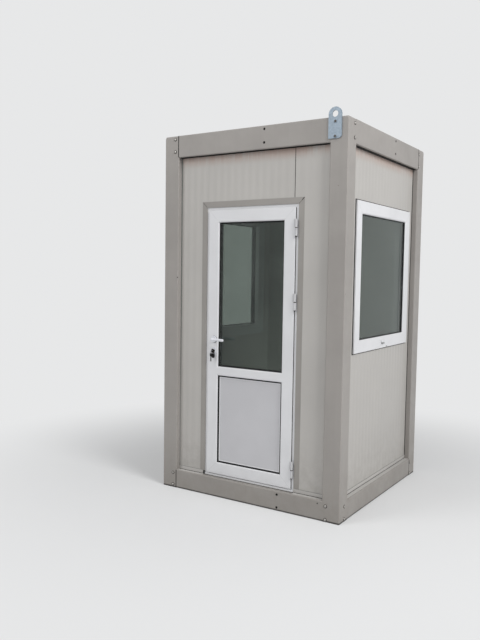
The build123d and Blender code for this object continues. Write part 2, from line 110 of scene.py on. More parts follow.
def length(label, text, value):
    """A length."""
    return FloatProperty(
        name=label, description=text, default=value, min=0.0, unit="LENGTH", precision=4
    )


def factor(label, text, value, top=1.0):
    """A plain number from 0 to a top."""
    return FloatProperty(
        name=label, description=text, default=value, min=0.0, max=top, subtype="FACTOR"
    )


def power(label, text, value):
    """The power of a lamp."""
    return FloatProperty(name=label, description=text, default=value, min=0.0, unit="POWER")


def vector(label, text, value, **kind):
    """Two or three numbers, such as heights or a place."""
    return FloatVectorProperty(
        name=label, description=text, default=value, size=len(value), **kind
    )


def colour(label, text, value):
    """A colour of red, green and blue."""
    return vector(label, text, value, min=0.0, max=1.0, subtype="COLOR")


class BoothSizes(bpy.types.PropertyGroup):
    """Sizes of the pieces that this file adds to the CAD frame."""

    rib_pitch: length("Rib pitch", "Distance between the fine ribs of a wall panel", 0.060)
    rib_flat: length("Rib width", "Width of the raised flat of a fine rib", 0.024)
    rib_slope: length("Rib slope", "Width of the slope on each side of a fine rib", 0.004)
    rib_rise: length("Rib rise", "Height of a fine rib", 0.0005)
    skin_thickness: length("Skin thickness", "Thickness of the painted sheet on a panel", 0.0005)
    joint_width: length("Joint width", "Width of the joint between two wall panels", 0.005)
    bolt_head: length("Bolt head", "Diameter of a dome bolt head", 0.0165)
    bolt_rise: length("Bolt rise", "Height of a dome bolt head", 0.0065)
    washer: length("Washer", "Diameter of the washer under a bolt head", 0.0255)
    washer_rise: length("Washer thickness", "Thickness of the washer under a bolt head", 0.002)
    roof_screw: length("Roof screw", "Width across the flats of a roof screw's head", 0.008)
    gasket_width: length("Gasket width", "Width of the gasket that shows round a window", 0.006)
    door_gasket: length("Door gasket", "Width of the gasket round the door's panes", 0.009)
    panel_gasket: length("Lower gasket", "Width of the gasket round the lower panel", 0.0115)
    gasket_rise: length("Gasket rise", "Height of the gasket over a pane", 0.006)
    panel_gasket_rise: length("Lower gasket rise", "Height over the lower panel", 0.009)
    glass_pocket: length("Glass pocket", "Depth by which a pane enters its frame", 0.012)
    pane: length("Pane", "Thickness of one pane of a double glazed unit", 0.004)
    grip_height: length("Grip height", "Height of the lever handle's grip", 0.020)
    grip_thickness: length("Grip thickness", "Thickness of the lever handle's grip", 0.012)
    grip_tip: length("Grip tip", "Length by which a grip runs past its lever's solid", 0.008)
    key_bow: length("Key bow", "Width of the key's bow", 0.025)
    knuckle: length("Knuckle", "Height of one knuckle of a door hinge", 0.056)
    knuckle_gap: length("Knuckle gap", "Gap between the knuckles of a door hinge", 0.002)
    hinge_spacing: length("Hinge spacing", "Distance between the two upper hinges", 0.508)
    leaf_inset: length("Leaf inset", "From the leaf's outer edge to the side of its body", 0.020)
    jamb_reach: length("Jamb reach", "From the door frame's outer edge to its jamb", 0.032)
    # The beads that this width sizes, under the roof beams and on the channels, are painted shade.
    seal: length("Seal", "Width of the sealant under the roof beams and on the channels", 0.007)
    channel_gap: length("Channel gap", "Gap between base channel and door frame", 0.006)
    post_bend: length("Post bend", "Bend radius of the folded posts", 0.006)
    joint_strip: length("Joint strip", "Width of the sealant over an open joint", 0.007)
    joint_depth: length("Joint depth", "Depth of the grooves between beams and posts", 0.0002)
    # The cups behind the holes and the rims round them are black as painted shade.
    hole_radius: length("Coupling hole", "Radius of the coupling holes in the beams", 0.007)
    hole_rim: length("Hole rim", "Width of the bare dark rim round a coupling hole", 0.0016)
    hole_sheet: length("Beam sheet", "Thickness of the beams' sheet", 0.003)
    roof_holes: vector("Roof holes", "Heights of the holes in the roof beams", (2.564, 2.656),
                       unit="LENGTH")
    floor_holes: vector("Floor holes", "Heights of the holes in the floor beams", (0.024, 0.116),
                        unit="LENGTH")
    round_steps: IntProperty(
        name="Round steps", description="Facets round a bolt head", default=24, min=8
    )


class BoothColours(bpy.types.PropertyGroup):
    """Colours of the finishes, as they look under plain white light."""

    frame_paint: colour("Frame paint", "Warm grey paint of posts and beams", (0.318, 0.298, 0.280))
    trim_paint: colour("Trim paint", "Paint of the door's flashing", (0.305, 0.289, 0.270))
    channel_paint: colour("Channel paint", "Paint of the base channels", (0.500, 0.485, 0.465))
    panel_paint: colour("Panel paint", "Off-white coating of the walls", (0.465, 0.448, 0.425))
    lining_paint: colour("Lining paint", "Coating inside the booth", (0.620, 0.605, 0.575))
    roof_paint: colour("Roof paint", "Coating of the roof sheet", (0.400, 0.396, 0.382))
    pvc: colour("PVC", "White plastic of the door and windows", (0.720, 0.722, 0.738))
    door_panel: colour("Door panel", "Facing of the lower door panel", (0.545, 0.542, 0.562))
    rubber: colour("Rubber", "Black rubber of the gaskets and the seal", (0.010, 0.010, 0.011))
    zinc: colour("Zinc", "Hot-dip galvanised steel of the lifting lugs", (0.292, 0.352, 0.412))
    # Painted shade: this dark colour draws the shade round the window frames and under the
    # rosettes; the two small screws share it.
    sealant: colour("Sealant", "Dark grey sealant round the windows", (0.024, 0.023, 0.022))
    bolt_metal: colour("Bolt metal", "Plated steel of bolts and screws", (0.430, 0.415, 0.390))
    glass: colour("Glass", "Light that one face of a pane lets through", (0.795, 0.815, 0.802))
    handle: colour("Handle", "White coating of the door handle", (0.740, 0.750, 0.790))
    # Painted shade: the washers are near black to draw the shade round each post bolt's head; the
    # lug bolts' heads share this colour.
    washer_metal_and_shade: colour("Washer metal", "Dull steel of the washers", (0.085, 0.078, 0.070))
    brass: colour("Lock metal", "Tarnished brass of the lock and key", (0.070, 0.058, 0.047))
    # Painted shade: the dark of the beads beside the posts, on the channels' lips and under the
    # drain caps.
    corner_shade: colour("Corner sealant", "Sealant beside the posts", (0.135, 0.148, 0.138))
    vinyl: colour("Floor vinyl", "Speckled covering of the floor", (0.120, 0.118, 0.112))
    dirt: colour("Dirt", "Brown dirt that rain leaves under the beams", (0.400, 0.285, 0.235))
    dust: colour("Dust", "Grey-brown dust near the ground", (0.235, 0.215, 0.190))


class BoothStage(bpy.types.PropertyGroup):
    """Camera, lamps and floor."""

    background: colour("Background", "Colour of the floor and the backdrop", (0.800, 0.805, 0.810))
    daylight: factor("Surrounding light", "Strength of the even light from all around", 0.52, 5.0)
    key_power: power("Key lamp", "Power of the large soft lamp at the right", 405.0)
    fill_power: power("Fill lamp", "Power of the soft lamp at the front left", 165.0)
    camera_place: vector("Camera place", "Where the camera stands", (2.57909, -4.82007, 1.66687),
                         unit="LENGTH")
    camera_turn: vector("Camera turn", "How the camera is turned", (1.50115, -0.01427, 0.57559),
                        subtype="EULER")
    camera_lens: FloatProperty(
        name="Camera lens", description="Focal length for a 36 mm tall image",
        default=38.2, min=1.0, unit="CAMERA"
    )


# Surfaces

SMALLEST_RADIUS = 0.0002  # of a plate's corners, where its edges are broken
WELD_DISTANCE = 1e-6  # below which two points are one


def quads(rows, columns, wrap_rows=False, wrap_columns=False):
    """Faces of a grid of points: each joins a point, its right neighbour and the two above."""
    r = np.arange(rows if wrap_rows else rows - 1)[:, None]
    c = np.arange(columns if wrap_columns else columns - 1)[None, :]
    above, beside = (r + 1) % rows, (c + 1) % columns
    corners = [
        r * columns + c, r * columns + beside, above * columns + beside, above * columns + c
    ]
    return np.stack(np.broadcast_arrays(*corners), -1).reshape(-1, 4)


def grid(points, wrap_rows=False, wrap_columns=False, caps=False):
    """A surface from rows of points. Caps close its first and its last row by one face each."""
    rows, columns = points.shape[:2]
    faces = quads(rows, columns, wrap_rows, wrap_columns).tolist()
    if caps:
        faces.append(list(range(columns))[::-1])
        faces.append(list(range((rows - 1) * columns, rows * columns)))
    return points.reshape(-1, 3), faces


def turned(profile, steps, closed=False):
    """A profile of (radius, height) turned about the third axis: x = r cos t, y = r sin t,
    z = h."""
    t = np.arange(steps) * 2 * np.pi / steps
    r, h = np.array(profile, float).T
    circle = np.stack([np.cos(t), np.sin(t), np.zeros(steps)], -1)
    points = r[:, None, None] * circle[None]
    points[..., 2] = h[:, None]
    return grid(points, wrap_rows=closed, wrap_columns=True)


def rounded_outline(half_u, half_v, radius, steps=6):
    """Outline of a rounded rectangle: four quarter circles about the corners' centres."""
    quarter = np.linspace(0, np.pi / 2, steps)[None, :]
    t = (np.arange(4)[:, None] * np.pi / 2 + quarter).ravel()
    sign_u = np.repeat([1, -1, -1, 1], steps)
    sign_v = np.repeat([1, 1, -1, -1], steps)
    u = sign_u * (half_u - radius) + radius * np.cos(t)
    v = sign_v * (half_v - radius) + radius * np.sin(t)
    return np.stack([u, v], -1)


def level_rows(outlines):
    """Rows of points from pairs of a flat outline and the height that it lies at."""
    return np.array([np.column_stack([flat, np.full(len(flat), h)]) for flat, h in outlines])


def plate(half_u, half_v, radius, low, high, arris):
    """A rounded plate with broken edges, from its half sizes, the radius of its corners, the
    heights of its two faces and its arris: four outlines one over the other, of which the lowest
    and the highest are drawn in by the arris."""
    rows = []
    for inset, height in ((arris, low), (0, low + arris), (0, high - arris), (arris, high)):
        corner = max(radius - inset, SMALLEST_RADIUS)
        rows.append((rounded_outline(half_u - inset, half_v - inset, corner), height))
    return grid(level_rows(rows), wrap_columns=True, caps=True)


def ring(profile, half_u, half_v):
    """A profile of (outward, height) carried round a rectangle, with a mitre at each corner."""
    out, height = np.array(profile, float).T
    signs = np.array([[1, 1], [-1, 1], [-1, -1], [1, -1]], float)
    points = np.empty((4, len(out), 3))
    points[..., 0] = signs[:, :1] * (half_u + out)
    points[..., 1] = signs[:, 1:] * (half_v + out)
    points[..., 2] = height
    return grid(points, wrap_rows=True, wrap_columns=True)


def annulus(outer, inner, low, high):
    """A flat ring between two outlines with as many points each, with straight walls."""
    rows = [(outer, low), (outer, high), (inner, high), (inner, low)]
    return grid(level_rows(rows), wrap_rows=True, wrap_columns=True)


def torus(radius, wire, steps=32, around=10):
    """A wire ring: x = (R + r cos p) cos t, y = (R + r cos p) sin t, z = r sin p."""
    t = (np.arange(steps) * 2 * np.pi / steps)[:, None]
    p = (np.arange(around) * 2 * np.pi / around)[None, :]
    reach = radius + wire * np.cos(p)
    parts = np.broadcast_arrays(reach * np.cos(t), reach * np.sin(t), wire * np.sin(p))
    return grid(np.stack(parts, -1), wrap_rows=True, wrap_columns=True)


def rib_wave(u, sizes):
    """Height of the fine ribs at u: a flat of full rise round each multiple of the pitch, with
    straight slopes down from it."""
    from_rib = np.abs((u / sizes.rib_pitch + 0.5) % 1.0 - 0.5) * sizes.rib_pitch
    share = (sizes.rib_flat / 2 + sizes.rib_slope - from_rib) / sizes.rib_slope
    return sizes.rib_rise * np.clip(share, 0, 1)


def ribbed_sheet(u_range, v_range, w, sizes):
    """A sheet with fine upright ribs: its section follows the rib wave in front and is flat
    behind."""
    u_low, u_high = u_range
    pitch = sizes.rib_pitch
    count = np.arange(math.floor(u_low / pitch) - 1, math.ceil(u_high / pitch) + 2)
    near, far = sizes.rib_flat / 2, sizes.rib_flat / 2 + sizes.rib_slope
    stations = (count[:, None] * pitch + np.array([-far, -near, near, far])[None, :]).ravel()
    u = np.unique(np.clip(np.concatenate([stations, [u_low, u_high]]), u_low, u_high))
    n = len(u)
    points = np.empty((2, 2 * n, 3))
    points[..., 0] = np.concatenate([u, u[::-1]])
    points[0, :, 1], points[1, :, 1] = v_range
    front = w + sizes.skin_thickness + rib_wave(u, sizes)
    points[..., 2] = np.concatenate([front, np.full(n, w)])
    i = np.arange(n - 1)
    strip = np.stack([i, i + 1, 2 * n - 2 - i, 2 * n - 1 - i], -1)
    flat, faces = grid(points, wrap_columns=True)
    return flat, faces + strip.tolist() + (strip[:, ::-1] + 2 * n).tolist()


def bar(section, low, high, axis=0):
    """A closed section carried straight from low to high: along the first axis with points of
    (up, out), or along the second with points of (along, out)."""
    section = np.array(section, float)
    points = np.empty((2, len(section), 3))
    points[..., 1 - axis], points[..., 2] = section[:, 0], section[:, 1]
    points[0, :, axis], points[1, :, axis] = low, high
    return grid(points, wrap_columns=True, caps=True)


def swept(path, up, half_across, half_up, around=16):
    """An ellipse carried along a path in a plane: each point is the path's, plus a cos p across
    and b sin p up."""
    tangent = np.gradient(path, axis=0)
    tangent /= np.linalg.norm(tangent, axis=1)[:, None]
    across = np.cross(tangent, up)
    p = np.arange(around) * 2 * np.pi / around
    points = (
        path[:, None]
        + (half_across[:, None] * np.cos(p))[..., None] * across[:, None]
        + (half_up[:, None] * np.sin(p))[..., None] * np.array(up, float)
    )
    return grid(points, wrap_columns=True)


def rotated(surface, axes):
    """A surface whose three axes are laid along the rows of a matrix."""
    points, faces = surface
    return points @ np.array(axes, float), faces


def on_side(surface, side, shift=(0, 0, 0)):
    """A surface given along, up and out of a side, in the part's own axes."""
    points, faces = surface
    return (points + np.array(shift, float)) @ SIDES[side], faces


def copies(surface, places):
    """The same surface at many places, in one mesh."""
    points, faces = surface
    places = np.array(places, float)
    all_points = (points[None] + places[:, None]).reshape(-1, 3)
    all_faces = [[i + k * len(points) for i in face] for k in range(len(places)) for face in faces]
    return all_points, all_faces


def linked(name, data):
    """A new object in the scene, at the origin."""
    made = bpy.data.objects.new(name, data)
    bpy.context.scene.collection.objects.link(made)
    return made


def piece(name, surfaces, material, body="cabin", replaces=(), weld=False, angle=40):
    """Writes surfaces as one object that rides on a body. Welding closes their poles, and edges
    sharper than the angle in degrees stay sharp."""
    points = np.concatenate([s[0] for s in surfaces])
    starts = np.cumsum([0] + [len(s[0]) for s in surfaces[:-1]])
    faces = [
        [i + int(start) for i in face] for (_, own), start in zip(surfaces, starts) for face in own
    ]
    mesh = bpy.data.meshes.new(name)
    mesh.from_pydata(points, [], faces)
    work = bmesh.new()
    work.from_mesh(mesh)
    if weld:
        bmesh.ops.remove_doubles(work, verts=work.verts, dist=WELD_DISTANCE)
    bmesh.ops.recalc_face_normals(work, faces=work.faces)
    work.to_mesh(mesh)
    work.free()
    mesh.polygons.foreach_set("use_smooth", np.ones(len(mesh.polygons), bool))
    mesh.set_sharp_from_angle(angle=math.radians(angle))
    mesh.materials.append(MATERIALS[material])
    made = linked(name, mesh)
    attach(made, body)
    if replaces:
        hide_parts(*replaces)
    return made


# Materials


class Signal:
    """One output socket of a node tree, with arithmetic that adds Math nodes."""

    def __init__(self, tree, socket):
        self.tree, self.socket = tree, socket

    def math(self, operation, *values):
        """A Math node on signals and numbers."""
        return self.tree.add("ShaderNodeMath", {"operation": operation}, dict(enumerate(values)))

    def __add__(self, other):
        return self.math("ADD", self, other)

    def __sub__(self, other):
        return self.math("SUBTRACT", self, other)

    def __rsub__(self, other):
        return self.math("SUBTRACT", other, self)

    def __mul__(self, other):
        return self.math("MULTIPLY", self, other)

    __radd__ = __add__
    __rmul__ = __mul__

    def __abs__(self):
        return self.math("ABSOLUTE", self)

    def least(self, other):
        return self.math("MINIMUM", self, other)

    def most(self, other):
        return self.math("MAXIMUM", self, other)

    def between(self, start, end, low=0.0, high=1.0):
        """A smooth step from low, where the signal is at start, to high, where it is at end."""
        settings = {"interpolation_type": "SMOOTHSTEP"}
        inputs = {0: self, 1: start, 2: end, 3: low, 4: high}
        return self.tree.add("ShaderNodeMapRange", settings, inputs)


class Nodes:
    """The nodes of a material or of the world."""

    def __init__(self, tree):
        self.nodes, self.links = tree.nodes, tree.links
        self.nodes.clear()

    def add(self, kind, settings=None, inputs=None, out=0):
        """One node: its settings are set first, and then its sockets' values or links."""
        node = self.nodes.new(kind)
        for key, value in (settings or {}).items():
            setattr(node, key, value)
        for key, value in (inputs or {}).items():
            if isinstance(value, Signal):
                self.links.new(value.socket, node.inputs[key])
            else:
                node.inputs[key].default_value = value
        return Signal(self, node.outputs[out]) if node.outputs else node

    def in_view(self):
        """Is 1 for a ray from the camera, and for one that has met a mirror or clear glass."""
        camera, glossy, clear = (
            self.add("ShaderNodeLightPath", out=ray)
            for ray in ("Is Camera Ray", "Is Glossy Ray", "Is Transmission Ray")
        )
        return camera.most(glossy).most(clear)


class Finish(Nodes):
    """A material on the part's own coordinates."""

    def __init__(self, name):
        self.material = bpy.data.materials.new(name)
        self.material.use_nodes = True
        super().__init__(self.material.node_tree)
        self.place = self.add("ShaderNodeTexCoord", out="Object")
        self.x, self.y, self.z = (
            self.add("ShaderNodeSeparateXYZ", {}, {0: self.place}, out=i) for i in range(3)
        )

    def noise(self, scale, detail=3.0, roughness=0.55, stretch=None):
        """Noise from 0 to 1, finer along an axis with a larger stretch."""
        where = self.place
        if stretch:
            multiply = {"operation": "MULTIPLY"}
            where = self.add("ShaderNodeVectorMath", multiply, {0: self.place, 1: stretch})
        inputs = {"Vector": where, "Scale": scale, "Detail": detail, "Roughness": roughness}
        return self.add("ShaderNodeTexNoise", {}, inputs)

    def cells(self, scale, out="Distance"):
        """Distance from the nearest of many scattered points, or the colour of its cell."""
        inputs = {"Vector": self.place, "Scale": scale}
        return self.add("ShaderNodeTexVoronoi", {}, inputs, out=out)

    def cell_tone(self, scale):
        """A tone from 0 to 1 that is another one in each cell."""
        return self.add("ShaderNodeSeparateColor", {}, {0: self.cells(scale, "Color")})

    def mix(self, share, first, second):
        """A colour that goes from the first to the second with the share."""
        first, second = (c if isinstance(c, Signal) else rgba(c) for c in (first, second))
        settings = {"data_type": "RGBA", "clamp_factor": True}
        return self.add("ShaderNodeMix", settings, {0: share, 6: first, 7: second}, out=2)

    def bump(self, height, distance, strength):
        """A relief whose full height is the distance."""
        inputs = {"Height": height, "Distance": distance, "Strength": strength}
        return self.add("ShaderNodeBump", {}, inputs)

    def grain(self, scale, distance, strength=0.5):
        """A fine even relief."""
        return self.bump(self.noise(scale, 2.0, 0.5), distance, strength)

    def output(self, shader):
        """Ends the material in a shader."""
        self.add("ShaderNodeOutputMaterial", {}, {"Surface": shader})
        return self.material

    def finish(self, base, rough, relief, metallic=0.0, specular=0.5):
        """Ends the material in one Principled shader."""
        inputs = {
            "Base Color": base, "Roughness": rough, "Normal": relief,
            "Metallic": metallic, "Specular IOR Level": specular,
        }
        return self.output(self.add("ShaderNodeBsdfPrincipled", {}, inputs))


def shade(rgb, share):
    """A colour made darker or lighter by a share."""
    return tuple(min(1.0, c * share) for c in rgb)


def rgba(rgb):
    """A colour with full opacity."""
    return (*rgb, 1.0)


def steel_paint(name, rgb, dust, weather=1.0):
    """Sprayed paint on steel: slow changes of tone, faint rain streaks, small chips, dust near the
    ground, and a dark line along the foot that is painted contact shade."""
    f = Finish(name)
    tone = f.noise(2.2, 4.0, 0.6)
    streak = f.noise(1.0, 4.0, 0.6, (26.0, 26.0, 1.1))
    patch = f.noise(9.0, 5.0, 0.65)
    base = f.mix(tone.between(0.3, 0.7), shade(rgb, 0.93), shade(rgb, 1.05))
    base = f.mix(streak.between(0.5, 0.8, 0.0, 0.14 * weather), base, shade(rgb, 0.76))
    dusty = f.z.between(0.50, 0.02) * patch.between(0.25, 0.75, 0.15, 0.55) * weather
    base = f.mix(dusty, base, dust)
    # Painted contact shade: a patchy dark line along the lowest centimetre, where the frame meets
    # the floor.
    foot_shade = f.z.between(0.0145, 0.0075) * patch.between(0.2, 0.6, 0.70, 0.95)
    base = f.mix(foot_shade, base, shade(dust, 0.12))
    chip = f.cells(11.0).between(0.045, 0.03) * f.noise(3.0).between(0.58, 0.62)
    base = f.mix(chip * 0.7, base, (0.11, 0.07, 0.05))
    relief = f.bump(f.noise(420.0, 2.0, 0.5) + chip * -2.0, 0.00012, 0.7)
    return f.finish(base, patch.between(0.2, 0.8, 0.38, 0.55), relief)


def panel_paint(name, rgb, dirt, dust, weather=1.0):
    """Coil coating on a wall panel: streaks that run down from under the roof beam and splashes
    at the foot."""
    f = Finish(name)
    tone = f.noise(1.7, 3.0, 0.55)
    streak = f.noise(1.0, 5.0, 0.62, (34.0, 34.0, 0.7))
    fine = f.noise(1.0, 3.0, 0.6, (90.0, 90.0, 2.4))
    base = f.mix(tone.between(0.3, 0.7), shade(rgb, 0.96), shade(rgb, 1.03))
    base = f.mix(streak.between(0.48, 0.85, 0.0, 0.06 * weather), base, shade(rgb, 0.78))
    runs = streak * 0.35 + fine * 0.35 + f.noise(3.6, 2.0, 0.5) * 0.55
    under_beam = f.z.between(2.425, 2.512) * runs.between(0.42, 0.72)
    base = f.mix(under_beam * (0.85 * weather), base, dirt)
    splash = f.noise(14.0, 5.0, 0.65).between(0.3, 0.7, 0.15, 0.8)
    base = f.mix(f.z.between(0.62, 0.12) * splash * (0.42 * weather), base, dust)
    return f.finish(base, tone.between(0.3, 0.7, 0.36, 0.46), f.grain(260.0, 0.00010))


def mitre_lines(f, across, half, low, high):
    """Is 1 on the corner lines of a frame, where the distances to its side and to its foot or
    head are alike."""
    inward = half - abs(across)
    foot = abs(inward - (f.z - low))
    head = abs(inward - (high - f.z))
    return foot.least(head).between(0.0016, 0.0006)


def pvc(name, rgb, dust, welded=None, gloss=0.30):
    """Smooth white plastic with a little grime low down. A welded frame, given as its axis across,
    its middle, half its width, its foot and its head, gets a fine line at each corner."""
    f = Finish(name)
    tone = f.noise(3.1, 3.0, 0.5)
    grime = f.noise(19.0, 5.0, 0.7)
    base = f.mix(tone.between(0.3, 0.7), shade(rgb, 0.965), shade(rgb, 1.02))
    base = f.mix(grime.between(0.52, 0.8, 0.0, 0.04), base, dust)
    base = f.mix(f.z.between(0.30, 0.14) * grime.between(0.35, 0.75, 0.03, 0.10), base, dust)
    height = f.noise(140.0, 2.0, 0.5) * 0.25
    if welded:
        axis, middle, half, low, high = welded
        weld = mitre_lines(f, (f.x if axis == "x" else f.y) - middle, half, low, high)
        base = f.mix(weld * 0.40, base, shade(rgb, 0.45))
        height = height - weld * 1.5
    rough = grime.between(0.3, 0.8, gloss, gloss + 0.16)
    return f.finish(base, rough, f.bump(height, 0.0003, 0.6))


def rubber(name, rgb):
    """Black rubber, a little dusty and grey where it is worn."""
    f = Finish(name)
    wear = f.noise(60.0, 4.0, 0.65)
    base = f.mix(wear.between(0.5, 0.85, 0.0, 0.30), rgb, shade(rgb, 2.6))
    rough = wear.between(0.3, 0.8, 0.55, 0.8)
    return f.finish(base, rough, f.grain(700.0, 0.0001), specular=0.2)


def painted_corner_shade(name, rgb, paler):
    """Painted shade in a corner: a dark bead, lighter in random patches, that fades paler towards
    the ground as the shade there does.
    """
    f = Finish(name)
    patch = f.noise(30.0, 4.0, 0.65)
    base = f.mix(patch.between(0.4, 0.8, 0.0, 0.35), rgb, shade(rgb, 1.6))
    base = f.mix(f.z.between(1.5, 0.3, 0.0, 0.75), base, paler)
    return f.finish(base, patch.between(0.3, 0.8, 0.6, 0.85), f.grain(400.0, 0.0002, 0.6))


def metal(name, rgb, metallic=0.9, rough=0.36, crystals=0.0, spots=0.25):
    """Plated or galvanised steel: crystals of slightly different tone, dull spots and fine
    scratches."""
    f = Finish(name)
    spot = f.noise(85.0, 4.0, 0.6)
    base = f.mix(spot.between(0.35, 0.75, 0.0, spots), rgb, shade(rgb, 0.55))
    if crystals:
        base = f.mix(f.cell_tone(crystals).between(0.0, 1.0, 0.0, 0.30), base, shade(rgb, 0.80))
    scratch = f.noise(1.0, 2.0, 0.5, (500.0, 500.0, 40.0))
    relief = f.bump(scratch * 0.6 + spot, 0.0001, 0.6)
    return f.finish(base, spot.between(0.3, 0.75, rough, rough + 0.18), relief, metallic=metallic)


def clear_glass(name, tint):
    """A clear pane: light passes with a tint, and a share is mirrored, r + (1 - r) f^5 for the
    facing value f."""
    f = Finish(name)
    f.material.use_backface_culling = False
    film = f.noise(2.6, 4.0, 0.6)
    through = f.add("ShaderNodeBsdfTransparent", {}, {"Color": rgba(tint)})
    silver = {"Base Color": (0.62, 0.66, 0.64, 1.0), "Metallic": 1.0, "Roughness": 0.0}
    mirror = f.add("ShaderNodeBsdfPrincipled", {}, silver)
    facing = f.add("ShaderNodeLayerWeight", {}, {"Blend": 0.5}, out="Facing")
    square = facing * facing
    share = square * square * facing * 0.96 + 0.035 + film.between(0.35, 0.8, 0.0, 0.02)
    return f.output(f.add("ShaderNodeMixShader", {}, {0: share, 1: through, 2: mirror}))


def vinyl(name, rgb, dust):
    """Floor covering with fine specks of two tones and a little dust where people step."""
    f = Finish(name)
    base = f.mix(f.cell_tone(420.0).between(0.72, 0.76), rgb, shade(rgb, 1.9))
    base = f.mix(f.noise(4.0, 4.0, 0.6).between(0.45, 0.8, 0.0, 0.45), base, dust)
    return f.finish(base, 0.5, f.grain(500.0, 0.0002))


def plain_coat(name, rgb, rough=0.35, fine=300.0, dust=None, sheen=0.5):
    """A thin even coating with a slight change of tone and a fine peel."""
    f = Finish(name)
    tone = f.noise(24.0, 4.0, 0.6)
    base = f.mix(tone.between(0.35, 0.75), shade(rgb, 1.0), shade(rgb, 0.90))
    if dust:
        base = f.mix(f.noise(5.0, 5.0, 0.65).between(0.42, 0.75, 0.0, 0.55), base, dust)
    wear = tone.between(0.3, 0.7, rough, rough + 0.1)
    return f.finish(base, wear, f.grain(fine, 0.0001), specular=sheen)


MATERIALS = {}

# The CAD nodes that stay in view, under the finish that covers them.
COVERED = {
    "frame": (
        *(f"roof_beam_{wall}" for wall in WALLS), *(f"floor_beam_{wall}" for wall in WALLS),
        "post_front_left", "post_front_right", "post_back_left", "post_back_right",
    ),
    "channel": tuple(f"base_channel_{wall}" for wall in WALLS),
    "lining": (
        "front_wall_left", "front_wall_over_door", "front_wall_right",
        "back_wall_wide", "back_wall_narrow", "left_wall", "right_wall",
    ),
    "trim": ("door_flashing",),
    "roof": ("roof_panel",),
    "vinyl": ("floor_panel",),
    "window": ("left_window_frame", "right_window_frame"),
    "zinc": ("lifting_lug_front", "lifting_lug_back"),
    "door_frame": ("door_frame",),
    "leaf": ("door_leaf_frame",),
    "plain_pvc": ("door_mid_rail",),
    "door_panel": ("door_lower_panel",),
    "hinge": ("door_hinges_frame_side", "door_hinges_leaf_side"),
    "handle": ("handle_rosettes",),
    "lock": ("lock_cylinder",),
}


class BOOTH_OT_finishes(bpy.types.Operator):
    """Makes the materials and gives them to the CAD nodes that stay in view"""

    bl_idname = "booth.finishes"
    bl_label = "Finishes of the frame"

    def welded(self, node, side="front"):
        """A frame's axis across, middle, half width, foot and head."""
        middle, half = middle_and_half(node, side)
        low, high = limits(node, side)
        return ("x" if side == "front" else "y"), middle[0], half[0], low[1], high[1]

    def execute(self, context):
        c = context.scene.booth_colours
        dirt, dust = tuple(c.dirt), tuple(c.dust)
        m = MATERIALS
        m["frame"] = steel_paint("frame_paint", c.frame_paint, dust)
        m["trim"] = steel_paint("trim_paint", c.trim_paint, dust, 0.8)
        m["channel"] = steel_paint("channel_paint", c.channel_paint, dust, 0.25)
        m["panel"] = panel_paint("panel_paint", c.panel_paint, dirt, dust)
        m["lining"] = panel_paint("lining_paint", c.lining_paint, dirt, dust, 0.0)
        m["roof"] = plain_coat("roof_paint", c.roof_paint, 0.45, 260.0, dust)
        m["vinyl"] = vinyl("floor_vinyl", c.vinyl, dust)

        m["rubber"] = rubber("rubber", c.rubber)
        # Painted shade round the windows and under the rosettes.
        m["sealant"] = rubber("window_sealant_shade", c.sealant)
        m["hole"] = rubber("hole_shadow", (0.010, 0.010, 0.010))
        m["shadow"] = rubber("joint_shadow", (0.022, 0.020, 0.018))
        # Painted shade, fading towards the ground to a darkened copy of the panel paint.
        paler = shade(c.panel_paint, 0.62)
        m["corner"] = painted_corner_shade("painted_corner_shade", c.corner_shade, paler)

        m["zinc"] = metal("zinc", c.zinc, 0.55, 0.42, 130.0)
        m["bolt"] = metal("bolt_metal", c.bolt_metal, 0.85, 0.28, 0.0, 0.35)
        # Near black as painted shade round the bolt heads.
        m["washer"] = metal("washer_metal_and_shade", c.washer_metal_and_shade, 0.2, 0.5, 0.0, 0.45)
        m["faceplate"] = metal("faceplate_steel", (0.55, 0.55, 0.54), 0.9, 0.4)
        m["lock"] = metal("lock_metal", c.brass, 0.85, 0.33)

        m["dark"] = plain_coat("dark_plastic", (0.014, 0.013, 0.013), 0.5, sheen=0.15)
        # Painted shade: the door's white PVC darkened by a fifth, so that the hinges, which stand
        # out into the light, look no brighter than the leaf.
        m["hinge"] = plain_coat("hinge_coat_shaded", shade(c.pvc, 0.80), 0.34)
        m["handle"] = plain_coat("handle_coat", c.handle, 0.28)
        m["glass"] = clear_glass("clear_glass", c.glass)
        m["door_panel"] = pvc("door_panel_facing", c.door_panel, dust, gloss=0.34)
        m["plain_pvc"] = pvc("plain_pvc", c.pvc, dust)
        m["leaf"] = pvc("leaf_pvc", c.pvc, dust, self.welded("door_leaf_frame"))
        m["door_frame"] = pvc("door_frame_pvc", c.pvc, dust, self.welded("door_frame"))
        m["window"] = pvc("window_pvc", c.pvc, dust, self.welded("right_window_frame", "right"))

        for finish, nodes in COVERED.items():
            for node in nodes:
                slots = NODES[node].data.materials
                slots.clear()
                slots.append(m[finish])
        return {"FINISHED"}


# Pieces


def frame_opening():
    """Half the clear width between two posts, and the height of the roof beams' underside."""
    low, high = limits("roof_beam_front")
    return high[0], low[1]


def wall_foot():
    """Height at which the visible faces of the walls begin."""
    return limits("left_wall", "left")[0][1]


def sheet_face():
    """How far out of the booth the wall panels' painted sheets lie."""
    return limits("front_wall_left")[1][2] + bpy.context.scene.booth_sizes.skin_thickness


def panel_joint():
    """How far right of the middle the joint between two front wall panels is."""
    return limits("front_wall_over_door")[1][0]


